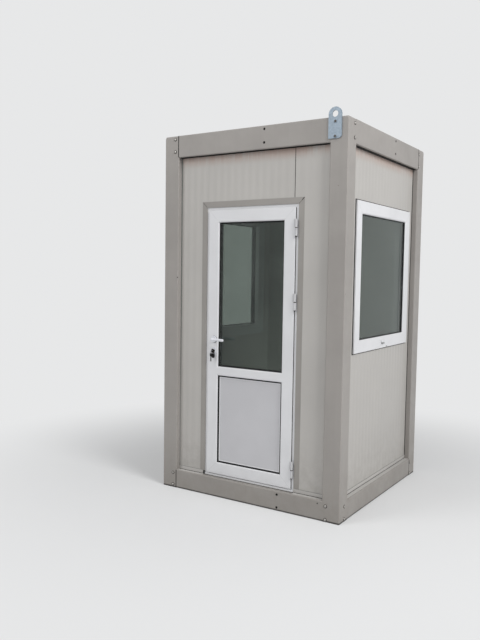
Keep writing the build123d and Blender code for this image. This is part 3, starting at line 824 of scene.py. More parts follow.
def wall_patches(side):
    """Patches of sheet for a side, as (along range, up range), between the posts and round what
    is cut in it. A sheet stops short of what it ends at by a small gap."""
    gap = 0.0005
    seam = bpy.context.scene.booth_sizes.joint_width / 2
    bay, head = frame_opening()
    bay -= gap
    whole = (wall_foot(), head)
    joint = panel_joint()
    if side == "back":
        return [((-bay, -joint - seam), whole), ((-joint + seam, bay), whole)]
    low, high = limits("door_frame" if side == "front" else f"{side}_window_frame", side)
    left, right = ((-bay, low[0] - gap), whole), ((high[0] + gap, bay), whole)
    above = (high[1] + gap, head)
    if side == "front":
        over_door = [((low[0], joint - seam), above), ((joint + seam, high[0] + gap), above)]
        return [left, *over_door, right]
    across = (low[0] - gap, high[0] + gap)
    return [left, right, (across, (whole[0], low[1] - gap)), (across, above)]


class BOOTH_OT_panel_skins(bpy.types.Operator):
    """Lays a finely ribbed painted sheet over each wall, and a dark bead in its upright joint"""

    bl_idname = "booth.panel_skins"
    bl_label = "Panel skins"

    def execute(self, context):
        s = context.scene.booth_sizes
        for side, panel in WALL_PANEL.items():
            out = limits(panel, side)[1][2]
            sheets = [on_side(ribbed_sheet(u, v, out, s), side) for u, v in wall_patches(side)]
            piece(f"panel_skin_{side}", sheets, "panel")
        head = frame_opening()[1]
        out = limits("front_wall_left")[1][2]
        half_width = s.joint_width / 2 - 0.0001
        flashing_top = limits("door_flashing")[1][1]
        for side, u, foot in (
            ("front", panel_joint(), flashing_top), ("back", -panel_joint(), wall_foot())
        ):
            bead = plate(half_width, (head - foot) / 2, 0.0003, 0.0, 0.0004, 0.0001)
            bead = on_side(bead, side, (u, (head + foot) / 2, out))
            piece(f"panel_joint_{side}", [bead], "shadow")
        return {"FINISHED"}


class BOOTH_OT_wall_seals(bpy.types.Operator):
    """Lays dark beads of painted shade under the roof beams, beside the posts, and on and behind
    the base channels
    """

    bl_idname = "booth.wall_seals"
    bl_label = "Seals of the walls"

    def execute(self, context):
        s = context.scene.booth_sizes
        t = s.seal
        bay, head = frame_opening()
        bay -= 0.0008
        wall = sheet_face()
        sunk = wall - 0.0003
        foot, lip = (corner[1] for corner in limits("base_channel_left", "left"))
        # Painted shade: a dark bead on the roof beam's underside and the top of the wall, where the
        # underside lies in shade.
        under_beam = [
            (head - 0.85 * t, sunk), (head, sunk), (head, wall + 3.4 * t),
            (head - 0.25 * t, wall + 3.2 * t), (head - 0.55 * t, wall + 0.6 * t),
        ]
        # Painted shade: a dark line on the top of the channel's lip, under the wall.
        on_lip = [
            (lip, sunk), (lip + 0.6 * t, sunk), (lip + 0.4 * t, wall + 0.2 * t),
            (lip, wall + 0.25 * t),
        ]
        # Painted shade: a dark line in the corner of the channel's ledge.
        ledge, proud = foot + 0.0015, wall + 0.0010
        on_ledge = [
            (ledge, proud), (ledge + 0.35 * t, proud), (ledge + 0.2 * t, wall + 0.35 * t),
            (ledge, wall + 0.45 * t),
        ]
        door_end = limits("door_frame")[1][0] + s.channel_gap
        for side in WALLS:
            uprights = {"corner": [], "shadow": []}
            for sign in (-1, 1):
                # Painted shade: dark beads in the corners beside the posts, where the posts'
                # returns shade the wall.
                beside = [
                    (sign * (bay - t), sunk), (sign * bay, sunk), (sign * bay, wall + 0.4 * t),
                    (sign * (bay - 0.5 * t), wall + 0.35 * t),
                ]
                kind = "shadow" if side in ("right", "left") and sign > 0 else "corner"
                bead = bar(beside, lip, head - 0.6 * t, axis=1)
                uprights[kind].append(on_side(bead, side))
            for kind, beads in uprights.items():
                if beads:
                    piece(f"{kind}_shade_beads_{side}", beads, kind)
            runs = [(-bay, -door_end), (door_end, bay)] if side == "front" else [(-bay, bay)]
            lip_beads = [on_side(bar(on_lip, *run), side) for run in runs]
            piece(f"lip_shade_beads_{side}", lip_beads, "corner")
            beads = [bar(under_beam, -bay, bay)] + [bar(on_ledge, *run) for run in runs]
            piece(f"wall_shade_beads_{side}", [on_side(bead, side) for bead in beads], "hole")
        return {"FINISHED"}


def dome_bolt(s):
    """A washer and a dome head, each a profile of (radius, height) turned about the bolt's axis.
    The dome's radius goes with cos a, and its height with a quarter and three quarters of sin a."""
    t, rim, r = s.washer_rise, s.washer / 2, s.bolt_head / 2
    washer = [(0, 0), (rim, 0), (rim, t * 0.7), (rim - t * 0.3, t), (0, t)]
    a = np.linspace(0, np.pi / 2, 7)[:-1]
    height = t + (s.bolt_rise - t) * (0.25 + 0.75 * np.sin(a))
    foot = [(0, t * 0.9), (r, t * 0.9), (r, t)]
    dome = np.concatenate([foot, np.column_stack([r * np.cos(a), height]), [(0, s.bolt_rise)]])
    return [turned(washer, s.round_steps), turned(dome, s.round_steps)]


class BOOTH_OT_bolts(bpy.types.Operator):
    """Puts the dome bolts on the posts and the lifting lugs, and the screws on the roof's ribs"""

    bl_idname = "booth.bolts"
    bl_label = "Bolts and screws"

    # Places along and up on each side's posts and lugs
    on_posts = {
        "front": [(-0.654, 2.654), (-0.654, 2.562), (-0.654, 0.115), (-0.654, 0.024),
                  (0.648, 0.108), (0.648, 0.016)],
        "right": [(-0.650, 2.647), (-0.650, 2.555), (-0.670, 0.105), (-0.670, 0.018),
                  (0.634, 2.640), (0.634, 2.543), (0.640, 0.108), (0.640, 0.018)],
        "back": [(-0.652, 2.651), (-0.652, 2.560), (-0.652, 0.112), (-0.652, 0.020),
                 (0.650, 0.110), (0.650, 0.018)],
        "left": [(-0.650, 2.650), (-0.650, 2.557), (-0.656, 0.108), (-0.656, 0.019),
                 (0.648, 2.646), (0.648, 2.552), (0.652, 0.110), (0.652, 0.018)],
    }
    on_lugs = {
        "front": [(0.660, 2.650), (0.660, 2.555)],
        "back": [(0.656, 2.650), (0.656, 2.555)],
    }

    def roof_screws(self, s):
        """Cap washers with hexagon heads, in three rows on the roof's five ribs."""
        low, high = limits("roof_panel", "top")
        rib_spacing, from_edge = 0.25, 0.06
        r = s.roof_screw / 2
        cap = [(0, 0), (r * 1.9, 0), (r * 1.9, 0.0012), (r * 1.1, 0.002), (0, 0.002)]
        hexagon = [
            (0, 0.0018), (r * 1.08, 0.0018), (r * 1.08, 0.0058), (r * 0.85, 0.0068), (0, 0.0068)
        ]
        rows = np.array([low[1] + from_edge, 0.0, high[1] - from_edge])
        u, v = np.meshgrid(np.arange(-2, 3) * rib_spacing, rows)
        spots = np.column_stack([u.ravel(), v.ravel(), np.full(u.size, high[2])])
        shapes = (turned(cap, 20), turned(hexagon, 6))
        screws = [on_side(copies(shape, spots), "top") for shape in shapes]
        piece("roof_screws", screws, "bolt", weld=True, angle=30)

    def execute(self, context):
        s = context.scene.booth_sizes
        shapes = dome_bolt(s)
        face = limits("post_front_left")[1][2]
        lug = limits("lifting_lug_front")[1][2]
        for side in WALLS:
            # On the posts the washers' near-black is painted shade round the bolt heads.
            for label, spots, out, finishes in (
                ("", self.on_posts[side], face, ("washer", "bolt")),
                ("_lug", self.on_lugs.get(side), lug, ("zinc", "washer")),
            ):
                if not spots:
                    continue
                places = [(u, v, out) for u, v in spots]
                for shape, name, finish in zip(shapes, ("washers", "bolts"), finishes):
                    spread = on_side(copies(shape, places), side)
                    piece(f"{name}{label}_{side}", [spread], finish, weld=True, angle=50)
        self.roof_screws(s)
        return {"FINISHED"}


def gasket(w, h, half_u, half_v):
    """A soft wedge carried round an opening, thickest against the frame."""
    profile = [
        (0.0002, 0.0), (0.0002, h), (-0.25 * w, h), (-0.62 * w, 0.62 * h), (-0.92 * w, 0.2 * h),
        (-w, 0.0),
    ]
    return ring(profile, half_u, half_v)


class BOOTH_OT_gaskets(bpy.types.Operator):
    """Puts gaskets round each pane and the lower door panel, on both faces, and the door's seal"""

    bl_idname = "booth.gaskets"
    bl_label = "Gaskets and door seal"

    def execute(self, context):
        s = context.scene.booth_sizes
        sizes = {
            "door_glass": (s.door_gasket, s.gasket_rise),
            "door_lower_panel": (s.panel_gasket, s.panel_gasket_rise),
        }
        for node, (side, body) in INFILLS.items():
            w, rise = sizes.get(node, (s.gasket_width, s.gasket_rise))
            low, high = limits(node, side)
            middle, half = middle_and_half(node, side)
            half_u, half_v = half[:2] - s.glass_pocket
            bead = gasket(w, rise, half_u, half_v)
            outer = on_side(bead, side, (*middle[:2], high[2]))
            inner = on_side(rotated(bead, INWARD), side, (*middle[:2], low[2]))
            piece(f"{node}_gasket", [outer, inner], "rubber", body=body)
            if node == "door_lower_panel":
                edge = -w + 0.0006
                fold = [(edge, 0.0), (edge, 0.0016), (-w - 0.0030, 0.0016), (-w - 0.0050, 0.0)]
                fold = on_side(ring(fold, half_u, half_v), side, (*middle[:2], high[2]))
                piece("door_lower_panel_edge", [fold], "plain_pvc", body=body)
        leaf_middle, leaf_half = middle_and_half("door_leaf_frame")
        bulb = [
            (-0.004, 0.0), (0.004, 0.0), (0.0042, 0.002), (0.003, 0.0040), (0.0, 0.0046),
            (-0.003, 0.0040), (-0.0042, 0.002),
        ]
        seal = ring(bulb, leaf_half[0] - 0.0014, leaf_half[1] - 0.0046)
        seal = on_side(seal, "front", (0.0, leaf_middle[1], limits("door_frame")[1][2]))
        piece("door_seal", [seal], "rubber")
        return {"FINISHED"}


class BOOTH_OT_glass(bpy.types.Operator):
    """Makes each double glazed unit: two panes with ground edges, and the spacer between them"""

    bl_idname = "booth.glass"
    bl_label = "Glass"

    def execute(self, context):
        s = context.scene.booth_sizes
        for node, (side, body) in INFILLS.items():
            if node == "door_lower_panel":
                continue
            low, high = limits(node, side)
            middle, half = middle_and_half(node, side)
            deep = high[2] - low[2]
            far = deep - s.pane
            place = (*middle[:2], low[2])
            panes = [
                on_side(plate(*half[:2], 0.002, start, end, 0.0005), side, place)
                for start, end in ((0.0, s.pane), (far, deep))
            ]
            piece(f"{node}_panes", panes, "glass", body=body, replaces=(node,),
                  angle=20)
            section = [
                (-0.002, s.pane), (-0.002, far), (-0.0085, far), (-0.0100, far - 0.002),
                (-0.0100, s.pane + 0.002), (-0.0085, s.pane),
            ]
            spacer = on_side(ring(section, *half[:2]), side, place)
            piece(f"{node}_spacer", [spacer], "shadow", body=body)
        return {"FINISHED"}


class BOOTH_OT_handles(bpy.types.Operator):
    """Makes the lever grips, the key in the lock, and the fob and second key on its ring"""

    bl_idname = "booth.handles"
    bl_label = "Levers and keys"

    # The leaf's axes for what stands edgewise in the lock: its width goes out of the leaf.
    edgewise = np.array([[0, 0, 1], [0, 1, 0], [-1, 0, 0]], float)

    def grip(self, reach, tip, s):
        """A lever from its neck to its tip: straight out of the leaf, round a quarter circle and
        along the leaf in a shallow sine. A smooth step turns the neck's round into the grip's flat
        oval, and the root of 1 - t^2 draws in the end."""
        neck_radius, bend = 0.0088, 0.016
        change, rounding = 0.04, 0.008  # lengths in which the section turns flat and the tip round
        level = reach - s.grip_thickness / 2
        t = np.linspace(0, np.pi / 2, 12)
        neck = np.column_stack([np.zeros(8), np.linspace(0.002, level - bend, 8)])
        elbow = np.column_stack([bend * (1 - np.cos(t)), level - bend + bend * np.sin(t)])[1:]
        run = np.linspace(bend, tip, 26)[1:]
        sag = 0.003 * np.sin(np.pi * (run - bend) / (tip - bend))
        flat = np.concatenate([neck, elbow, np.column_stack([run, level - sag])])
        path = np.column_stack([flat[:, 0], np.zeros(len(flat)), flat[:, 1]])
        steps = np.linalg.norm(np.diff(path, axis=0), axis=1)
        along = np.concatenate([[0], np.cumsum(steps)])
        share = np.clip((along - level + bend) / change, 0, 1)
        share = share * share * (3 - 2 * share)
        half_across = neck_radius + (s.grip_thickness / 2 - neck_radius) * share
        half_up = neck_radius + (s.grip_height / 2 - neck_radius) * share
        ending = np.clip((along - along[-1] + rounding) / rounding, 0, 1)
        closing = np.sqrt(np.clip(1 - ending**2, 0, 1)) * (along > 0)
        return swept(path, (0, 1, 0), half_across * closing, half_up * closing)

    def lever_pieces(self, s):
        """The outer and the inner grip, and the dark lips round their rosettes, set low to show as
        a painted shadow under them.
        """
        leaf_low, leaf_high = limits("door_leaf_frame")
        for node, outside in (("lever_outside", True), ("lever_inside", False)):
            low, high = limits(node)
            root, v = low[0] + s.grip_height / 2, (low[1] + high[1]) / 2
            face = leaf_high[2] if outside else leaf_low[2]
            reach = high[2] - face if outside else face - low[2]
            shape = self.grip(reach, high[0] + s.grip_tip - root, s)
            if not outside:
                shape = rotated(shape, INWARD)
            piece(f"{node}_grip", [on_side(shape, "front", (root, v, face))], "handle",
                  body="lever", replaces=(node,), weld=True, angle=60)
        middle, half = middle_and_half("lever_outside")
        # Painted shadow: the dark lip is set a little below the rosette's middle, so that it shows
        # wider underneath.
        rose = (middle[0] - half[0] + s.grip_height / 2, middle[1] - 0.0012)
        edge = middle_and_half("handle_rosettes")[1][0]
        section = [
            (edge - 0.0022, 0), (edge + 0.0022, 0), (edge + 0.0018, 0.0012), (edge - 0.0022, 0.0014)
        ]
        lip = turned(section, 48, closed=True)
        lips = [on_side(lip, "front", (*rose, leaf_high[2])),
                on_side(rotated(lip, INWARD), "front", (*rose, leaf_low[2]))]
        piece("rosette_shade_lips", lips, "sealant", body="door_leaf", angle=50)

    def tag(self, half_u, half_v, radius, eye_up, half_thickness):
        """A rounded flat tag with an eye above its middle."""
        eye = rounded_outline(0.0034, 0.0024, 0.002, 8) + np.array([0.0, eye_up])
        outline = rounded_outline(half_u, half_v, radius, 8)
        return annulus(outline, eye, -half_thickness, half_thickness)

    def on_leaf(self, name, surface, place, finish="dark", angle=30):
        """One small piece that rides on the leaf."""
        piece(name, [on_side(surface, "front", place)], finish, body="door_leaf", angle=angle)

    def key_pieces(self, s):
        """The key in the lock, and what hangs from its ring."""
        low, high = limits("lock_cylinder")
        u, v, out = (low[0] + high[0]) / 2, high[1] - (high[0] - low[0]) / 2, high[2]
        bow = s.key_bow / 2
        bow_out, hole_reach = out + 0.004 + bow, bow * 0.52
        hole = rounded_outline(0.0042, 0.0026, 0.0025, 8) + np.array([hole_reach, 0.0])
        head = annulus(rounded_outline(bow, bow * 1.15, bow * 0.8, 8), hole, -0.0014, 0.0014)
        blade = plate(0.0085, 0.0042, 0.0008, -0.0011, 0.0011, 0.0003)
        self.on_leaf("key_in_lock_bow", rotated(head, self.edgewise), (u, v, bow_out))
        self.on_leaf("key_in_lock_blade", rotated(blade, self.edgewise), (u, v, out + 0.0035),
                     "lock")

        ring_out, ring_foot = bow_out + hole_reach, v - 0.0210
        tilt = [[0.94, 0.0, 0.34], [0, 1, 0], [-0.34, 0, 0.94]]
        self.on_leaf("key_ring", rotated(torus(0.013, 0.0012), tilt), (u, v - 0.0095, ring_out),
                     angle=60)
        fob = self.tag(0.0125, 0.0190, 0.0110, 0.0145, 0.0022)
        self.on_leaf("key_fob", fob, (u + 0.0085, ring_foot - 0.0135, ring_out - 0.0040))
        second_half, shank_drop = 0.0135, 0.0175
        second = self.tag(0.0090, second_half, 0.0080, 0.0090, 0.0016)
        shank = plate(0.0040, 0.0180, 0.001, -0.0010, 0.0010, 0.0003)
        second_u, second_v, second_out = u - 0.0065, ring_foot - 0.0085, ring_out + 0.0030
        shank_v = second_v - second_half - shank_drop
        self.on_leaf("second_key_bow", second, (second_u, second_v, second_out))
        self.on_leaf("second_key_blade", shank, (second_u, shank_v, second_out))

    def execute(self, context):
        s = context.scene.booth_sizes
        self.lever_pieces(s)
        self.key_pieces(s)
        return {"FINISHED"}


class BOOTH_OT_trims(bpy.types.Operator):
    """Adds the windows' drain caps and sealant, the door's threshold and the flashing's mitres"""

    bl_idname = "booth.trims"
    bl_label = "Small trims"

    def window_trims(self, side, s):
        """A drain cap with its rim and a dark mouth under it as painted shadow, a drain slot, and a
        dark bead round the frame as painted shade.
        """
        low, high = limits(f"{side}_window_frame", side)
        middle, half = middle_and_half(f"{side}_window_frame", side)
        along = 0.010 if side == "right" else -0.010
        up, face = low[1] + 0.050, high[2]
        cap = plate(0.026, 0.0100, 0.0095, 0.0, 0.0130, 0.0040)
        rim = plate(0.029, 0.0125, 0.0110, 0.0, 0.0015, 0.0005)
        mouth = plate(0.021, 0.0030, 0.002, 0.0, 0.0112, 0.0008)
        slot = plate(0.013, 0.0022, 0.002, 0.0, 0.0004, 0.0001)
        piece(f"{side}_window_drain_cap", [on_side(x, side, (along, up, face)) for x in (rim, cap)],
              "plain_pvc")
        # Painted shadow: a dark mouth just under the cap.
        piece(f"{side}_window_drain_mouth_shade", [on_side(mouth, side, (along, up - 0.0135, face))],
              "corner")
        place = (along + 0.090, low[1] + 0.0062, face - 0.0001)
        piece(f"{side}_window_drain_slot", [on_side(slot, side, place)], "hole")
        # Painted shade: a dark bead round the frame, where the proud frame shades the wall.
        bead = [
            (-0.0005, 0.0), (0.0078, 0.0), (0.0066, 0.0020), (0.0034, 0.0034), (-0.0005, 0.0040)
        ]
        wall = limits(f"{side}_wall", side)[1][2] + s.skin_thickness
        seal = on_side(ring(bead, *half[:2]), side, (*middle[:2], wall))
        piece(f"{side}_window_sealant_shade", [seal], "sealant")

    def threshold(self):
        """The strip under the leaf, and the dark line along its foot."""
        low, high = limits("door_frame")
        leaf_low, leaf_high = limits("door_leaf_frame")
        foot, face = low[1], high[2]
        half_length = high[0] - 0.004
        half_v = (leaf_low[1] - 0.0055 - foot - 0.0005) / 2
        reach = leaf_high[2] - face - 0.002
        sill = plate(half_length, half_v, 0.002, 0.0, reach, 0.0012)
        piece("door_threshold", [on_side(sill, "front", (0.0, foot + 0.0005 + half_v, face))],
              "plain_pvc")
        start, end = foot + 0.0002, foot + 0.0036
        back, front = face - 0.001, face + reach + 0.0005
        line = bar([(start, back), (end, back), (end, front), (start, front)],
                   -half_length, half_length)
        piece("threshold_seal", [on_side(line, "front")], "hole")

    def flashing_mitres(self):
        """A hairline across each upper corner of the flashing, and the notch at the right one."""
        frame_u, frame_v, _ = limits("door_frame")[1]
        outer = limits("door_flashing")[1]
        across = (outer[0] - frame_u) / 2
        r = math.sqrt(0.5)
        hairline = plate(across * math.sqrt(2) - 0.001, 0.0011, 0.0002, 0.0, 0.0003, 0.0001)
        lines = []
        for sign in (-1, 1):
            slanted = rotated(hairline, [[sign * r, r, 0], [-sign * r, r, 0], [0, 0, 1]])
            corner = (sign * (frame_u + across), frame_v + across, outer[2])
            lines.append(on_side(slanted, "front", corner))
        notch = rotated(plate(0.012, 0.0026, 0.0010, 0.0, 0.0005, 0.0001),
                        [[r, r, 0], [-r, r, 0], [0, 0, 1]])
        lines.append(on_side(notch, "front", (outer[0] - 0.0105, outer[1] - 0.0105, outer[2])))
        piece("flashing_mitres", lines, "shadow")

    def channel_ends(self):
        """What shows between the base channel's ends and the door frame: a black plate of painted
        shade in the left gap, and channel paint in the right one.
        """
        low, high = limits("door_frame")
        lip = limits("base_channel_left", "left")[1][1]
        up, half_v = (lip + low[1]) / 2, (lip - low[1]) / 2 - 0.0003
        # The left gap's black plate is painted shade in the gap.
        for name, sign, width, finish in (
            ("channel_gap_left", -1, 0.0125, "hole"), ("channel_gap_right", 1, 0.0062, "channel")
        ):
            end = plate(width / 2, half_v, 0.0005, 0.0, 0.0048, 0.0003)
            along = sign * (high[0] + width / 2 + 0.0002)
            piece(name, [on_side(end, "front", (along, up, sheet_face()))], finish)

    def execute(self, context):
        for side in ("right", "left"):
            self.window_trims(side, context.scene.booth_sizes)
        self.threshold()
        self.flashing_mitres()
        self.channel_ends()
        return {"FINISHED"}


class BOOTH_OT_door_hardware(bpy.types.Operator):
    """Adds washers and caps to the hinges, the lock's long faceplate, and its strike plates"""

    bl_idname = "booth.door_hardware"
    bl_label = "Door hardware"

    def hinges(self, s):
        """Dark collars between the knuckles and caps under them, at each of the three hinges."""
        low, high = limits("door_hinges_frame_side")
        leaf_top = limits("door_hinges_leaf_side")[1][1]
        r = (high[0] - low[0]) / 2
        along, out = low[0] + r, high[2] - r
        half_gap = s.knuckle_gap / 2
        top = leaf_top - s.knuckle - half_gap
        centres = (top, top - s.hinge_spacing, low[1] + s.knuckle + half_gap)
        t = half_gap * 0.8
        washer = [
            (r * 0.57, -t), (r * 1.01, -t), (r * 1.01, -0.0045), (r * 1.14, -0.0045),
            (r * 1.14, t), (r * 0.57, t),
        ]
        cap = [(0, -0.0070), (r * 0.70, -0.0066), (r * 1.02, -0.0040), (r * 1.02, 0.0), (0, 0.0)]
        upright = [[1, 0, 0], [0, 0, -1], [0, 1, 0]]
        for name, shape, drop in (
            ("hinge_washers", turned(washer, s.round_steps, closed=True), 0.0),
            ("hinge_caps", turned(cap, s.round_steps), half_gap + s.knuckle),
        ):
            spots = [(along, up - drop, out) for up in centres]
            piece(name, [on_side(copies(rotated(shape, upright), spots), "front")], "dark",
                  weld=True)

    def lock(self, s):
        """The faceplate in the leaf's edge with its latch, screws and bolts, and the plates and
        holes that they meet in the jamb. Heights are from the lever."""
        lever = limits("lever_outside")
        v = (lever[0][1] + lever[1][1]) / 2
        depth = limits("door_leaf_frame", "left")[0][0] + 0.026
        edge = -limits("door_leaf_frame")[0][0] - s.leaf_inset
        jamb = limits("door_frame")[0][0] + s.jamb_reach

        strip = plate(0.008, 0.75, 0.0075, 0.0, 0.0008, 0.0003)
        latch = plate(0.006, 0.015, 0.001, 0.0, 0.0028, 0.0010)
        screw = turned([(0, 0.0006), (0.0032, 0.0006), (0.0028, 0.0014), (0, 0.0016)], 16)
        bolt = plate(0.0050, 0.011, 0.001, 0.0, 0.0011, 0.0003)
        keep = plate(0.011, 0.070, 0.003, 0.0, 0.0012, 0.0004)
        mouth = plate(0.0062, 0.017, 0.001, 0.0, 0.0015, 0.0003)

        def in_leaf(shape, *rises):
            return on_side(copies(shape, [(depth, v + rise, edge) for rise in rises]), "left")

        def in_jamb(shape, *rises):
            return on_side(copies(shape, [(-depth, v + rise, jamb) for rise in rises]), "right")

        screws = in_leaf(screw, -0.73, -0.42, -0.16, 0.09, 0.40, 0.73)
        piece("lock_faceplate", [in_leaf(strip, 0.0), in_leaf(latch, 0.0), screws], "faceplate",
              body="door_leaf", weld=True)
        piece("lock_bolt_slots", [in_leaf(bolt, -0.085, -0.60, 0.60)], "dark", body="door_leaf")
        piece("strike_plates", [in_jamb(keep, -0.02, -0.6, 0.6)], "faceplate")
        piece("strike_mouths", [in_jamb(mouth, 0.0, -0.06, -0.6, 0.6)], "hole")

    def execute(self, context):
        s = context.scene.booth_sizes
        self.hinges(s)
        self.lock(s)
        return {"FINISHED"}


def groove_bead(u, low, high, depth, radius):
    """Fills the groove between a beam's end and the rounded edge of a post, up to a depth below
    their faces. The post's edge is an arc: at the depth d its distance from the beam's end is
    r - sqrt(r^2 - (r - d)^2)."""
    d = np.linspace(radius * 0.92, depth, 8)
    reach = radius - np.sqrt(radius**2 - (radius - d) ** 2)
    along = np.concatenate([u + np.sign(u) * reach, [u, u]])
    out = np.concatenate([-d, [-depth, -d[0]]])
    return bar(np.column_stack([along, out]), low, high, axis=1)


class BOOTH_OT_frame_joints(bpy.types.Operator):
    """Fills the grooves between beams and posts with paint or a dark bead, and blacks out the
    holes as painted shade
    """

    bl_idname = "booth.frame_joints"
    bl_label = "Joints of the frame"

    # Joints that stand open, by side, end and beam, with their depth in joint depths. The others
    # are painted over, and less deep.
    open_joints = {
        ("front", -1, "roof"): 1.0, ("front", -1, "floor"): 3.0,
        ("right", 1, "roof"): 1.0, ("right", 1, "floor"): 4.0,
        ("back", 1, "roof"): 1.0, ("left", -1, "roof"): 1.0, ("left", 1, "roof"): 4.0,
    }
    painted_depth = 0.6
    # Open joints with a strip of dark sealant over them
    stripped = (
        ("front", -1, "roof"), ("front", -1, "floor"), ("right", 1, "roof"),
        ("right", 1, "floor"), ("back", 1, "roof"),
    )
    # Distances along each side from its middle to the coupling holes
    hole_places = {
        "front": {"roof": 0.121, "floor": 0.271},
        "back": {"roof": -0.121, "floor": -0.271},
        "right": {"roof": 0.102},
        "left": {"roof": -0.102},
    }

    def joints(self, s, beams, face):
        """The beads between each beam's ends and the posts, and the strips over some of them."""
        painted, dark, strips = [], [], []
        for side in WALLS:
            for sign in (-1, 1):
                for name, (low, high) in beams.items():
                    share = self.open_joints.get((side, sign, name))
                    depth = s.joint_depth * (share or self.painted_depth)
                    foot, head = low[1] + 0.0005, high[1] - 0.0005
                    bead = groove_bead(sign * high[0], foot, head, depth, s.post_bend)
                    (dark if share else painted).append(on_side(bead, side, (0, 0, face)))
                    if (side, sign, name) in self.stripped:
                        middle, half_v = (low[1] + high[1]) / 2, (high[1] - low[1]) / 2 - 0.002
                        strip = plate(s.joint_strip / 2, half_v, 0.001, -0.0008, 0.0004, 0.0002)
                        along = sign * (high[0] + 0.45 * s.joint_strip)
                        strips.append(on_side(strip, side, (along, middle, face)))
        piece("frame_joint_sealant", painted, "frame", weld=True)
        piece("frame_joint_gaps", dark, "hole", weld=True)
        piece("frame_joint_strips", strips, "shadow")

    def coupling_holes(self, s, face):
        """Dark cups with a nut's bore behind the coupling holes, as painted shade for the dark
        inside the hollow beams, and narrow dark rims round them that widen it.
        """
        r, t = s.hole_radius, s.hole_sheet
        rim = r - 0.0002
        deep, bore = -t - 0.018, -t - 0.010
        # Painted shade: black cups behind the holes, where the hollow beams are dark inside.
        cup = turned([
            (0, deep), (r * 1.5, deep), (r * 1.5, -t), (rim, -t), (rim, -0.0006),
            (rim * 0.62, -0.0006), (rim * 0.62, bore), (0, bore),
        ], 24)
        # Painted shade: a dark ring round each hole that widens its dark.
        narrow = turned([
            (r - 0.0001, -0.0004), (r + s.hole_rim, -0.0002), (r + s.hole_rim, 0.0003),
            (r - 0.0001, 0.0003),
        ], 32, closed=True)
        heights = {"roof": s.roof_holes, "floor": s.floor_holes}
        backed = []
        for side, places in self.hole_places.items():
            spots = [(u, v, face) for beam, u in places.items() for v in heights[beam]]
            backed += [on_side(copies(shape, spots), side) for shape in (cup, narrow)]
        piece("coupling_nuts", backed, "hole", weld=True, angle=30)

    def execute(self, context):
        s = context.scene.booth_sizes
        beams = {"roof": limits("roof_beam_front"), "floor": limits("floor_beam_front")}
        face = beams["roof"][1][2]
        self.joints(s, beams, face)
        self.coupling_holes(s, face)
        dot = turned([(0, 0), (0.0042, 0), (0.0040, 0.0014), (0.0024, 0.0024), (0, 0.0026)], 16)
        spots = [(0.588, 0.117, face), (-0.626, 1.625, face)]
        piece("small_screws", [on_side(copies(dot, spots), "front")], "sealant", weld=True,
              angle=50)
        return {"FINISHED"}


class BOOTH_OT_linings(bpy.types.Operator):
    """Lays the finely ribbed white sheets over the inner faces of the walls and the roof panel"""

    bl_idname = "booth.linings"
    bl_label = "Inner linings"

    def execute(self, context):
        s = context.scene.booth_sizes

        def lining(u_range, v_range, side, plane):
            sheet = rotated(ribbed_sheet(u_range, v_range, 0.0, s), INWARD)
            return on_side(sheet, side, (0, 0, plane))

        for side, panel in WALL_PANEL.items():
            plane = limits(panel, side)[0][2]
            corner = abs(plane) - s.skin_thickness - s.rib_rise
            sheets = []
            for u_range, v_range in wall_patches(side):
                if side in ("front", "back"):
                    # The sheets that end at a post go on behind it, into the room's corner.
                    u_range = [math.copysign(corner, u) if abs(u) > 0.6 else u for u in u_range]
                sheets.append(lining(u_range, v_range, side, plane))
            piece(f"panel_lining_{side}", sheets, "lining")
        half = limits("roof_beam_front")[0][2] - 0.0005
        across = (-half, half)
        ceiling = lining(across, across, "top", limits("roof_panel", "top")[0][2])
        piece("ceiling_lining", [ceiling], "lining")
        return {"FINISHED"}


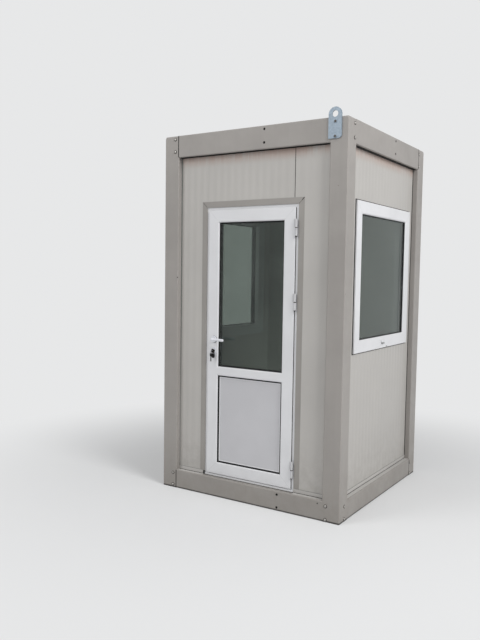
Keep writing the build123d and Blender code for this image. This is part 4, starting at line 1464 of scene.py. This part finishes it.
class BOOTH_OT_stage(bpy.types.Operator):
    """Sets the camera of the photograph, the soft lamps, the pale floor and the surroundings"""

    bl_idname = "booth.stage"
    bl_label = "Stage"

    def lamp(self, name, place, aim, size, energy):
        """A round soft lamp that stands at a place and shines on an aim."""
        light = bpy.data.lights.new(name, "AREA")
        light.shape, light.size, light.energy = "DISK", size, energy
        made = linked(name, light)
        made.location = place
        made.rotation_euler = (Vector(aim) - Vector(place)).to_track_quat("-Z", "Y").to_euler()

    def floor(self, g):
        """A flat disc, whose material turns into the background away from the booth."""
        radii = (0.0, 1.5, 3.0, 6.0, 12.0, 30.0, 90.0, 400.0)
        points, faces = turned([(r, 0.0) for r in radii], 64)
        mesh = bpy.data.meshes.new("studio_floor")
        mesh.from_pydata(points, [], faces)
        f = Finish("studio_floor")
        away = f.add("ShaderNodeVectorMath", {"operation": "LENGTH"}, {0: f.place}, out="Value")
        matt = f.add("ShaderNodeBsdfDiffuse", {}, {"Color": rgba(g.background)})
        glow = f.add("ShaderNodeEmission", {}, {"Color": rgba(g.background), "Strength": 1.0})
        share = away.between(1.1, 3.6, 0.15, 1.0) * f.in_view()
        both = f.add("ShaderNodeMixShader", {}, {0: share, 1: matt, 2: glow})
        mesh.materials.append(f.output(both))
        linked("studio_floor", mesh)

    def surroundings(self, g):
        """The background where it is in view, and an even light of its colour for the rest."""
        world = bpy.data.worlds.new("studio")
        bpy.context.scene.world = world
        world.use_nodes = True
        w = Nodes(world.node_tree)
        level = w.add("ShaderNodeMapRange", {}, {0: w.in_view(), 3: g.daylight, 4: 1.0})
        sky = {"Color": rgba(g.background), "Strength": level}
        w.add("ShaderNodeOutputWorld", {}, {"Surface": w.add("ShaderNodeBackground", {}, sky)})

    def execute(self, context):
        g = context.scene.booth_stage
        view = bpy.data.cameras.new("camera")
        view.sensor_fit, view.sensor_height, view.sensor_width = "VERTICAL", 36.0, 36.0
        view.lens = g.camera_lens
        camera = linked("camera", view)
        camera.location = g.camera_place
        camera.rotation_euler = g.camera_turn
        context.scene.camera = camera
        self.lamp("key_lamp", (6.4, -2.6, 6.0), (0.0, 0.0, 1.2), 3.5, g.key_power)
        self.lamp("fill_lamp", (-3.2, -6.0, 6.2), (0.0, 0.0, 1.3), 4.0, g.fill_power)
        self.floor(g)
        self.surroundings(g)
        context.scene.view_settings.view_transform = "Standard"
        return {"FINISHED"}


class BOOTH_PT_sidebar(bpy.types.Panel):
    """Lists what builds the booth's looks"""

    bl_idname = "BOOTH_PT_sidebar"
    bl_label = "Guard booth"
    bl_space_type = "VIEW_3D"
    bl_region_type = "UI"
    bl_category = "Guard booth"

    def draw(self, context):
        column = self.layout.column()
        for operator in OPERATORS:
            column.operator(operator.bl_idname)
        for name in GROUPS:
            group = getattr(context.scene, name)
            box = self.layout.box()
            for key in group.__annotations__:
                box.prop(group, key)


OPERATORS = (
    BOOTH_OT_finishes,
    BOOTH_OT_panel_skins,
    BOOTH_OT_wall_seals,
    BOOTH_OT_bolts,
    BOOTH_OT_gaskets,
    BOOTH_OT_glass,
    BOOTH_OT_handles,
    BOOTH_OT_trims,
    BOOTH_OT_door_hardware,
    BOOTH_OT_frame_joints,
    BOOTH_OT_linings,
    BOOTH_OT_stage,
)
GROUPS = {"booth_sizes": BoothSizes, "booth_colours": BoothColours, "booth_stage": BoothStage}


def register():
    """Makes the classes known and gives each scene its sizes, colours and stage."""
    for group in GROUPS.values():
        bpy.utils.register_class(group)
    for name, group in GROUPS.items():
        setattr(bpy.types.Scene, name, PointerProperty(type=group))
    for operator in OPERATORS:
        bpy.utils.register_class(operator)
    bpy.utils.register_class(BOOTH_PT_sidebar)


def unregister():
    """Takes back what register did."""
    bpy.utils.unregister_class(BOOTH_PT_sidebar)
    for operator in reversed(OPERATORS):
        bpy.utils.unregister_class(operator)
    for name, group in GROUPS.items():
        delattr(bpy.types.Scene, name)
        bpy.utils.unregister_class(group)


def main():
    """Runs every operator in order."""
    register()
    for operator in OPERATORS:
        group, name = operator.bl_idname.split(".")
        getattr(getattr(bpy.ops, group), name)()


if __name__ == "__main__":
    main()
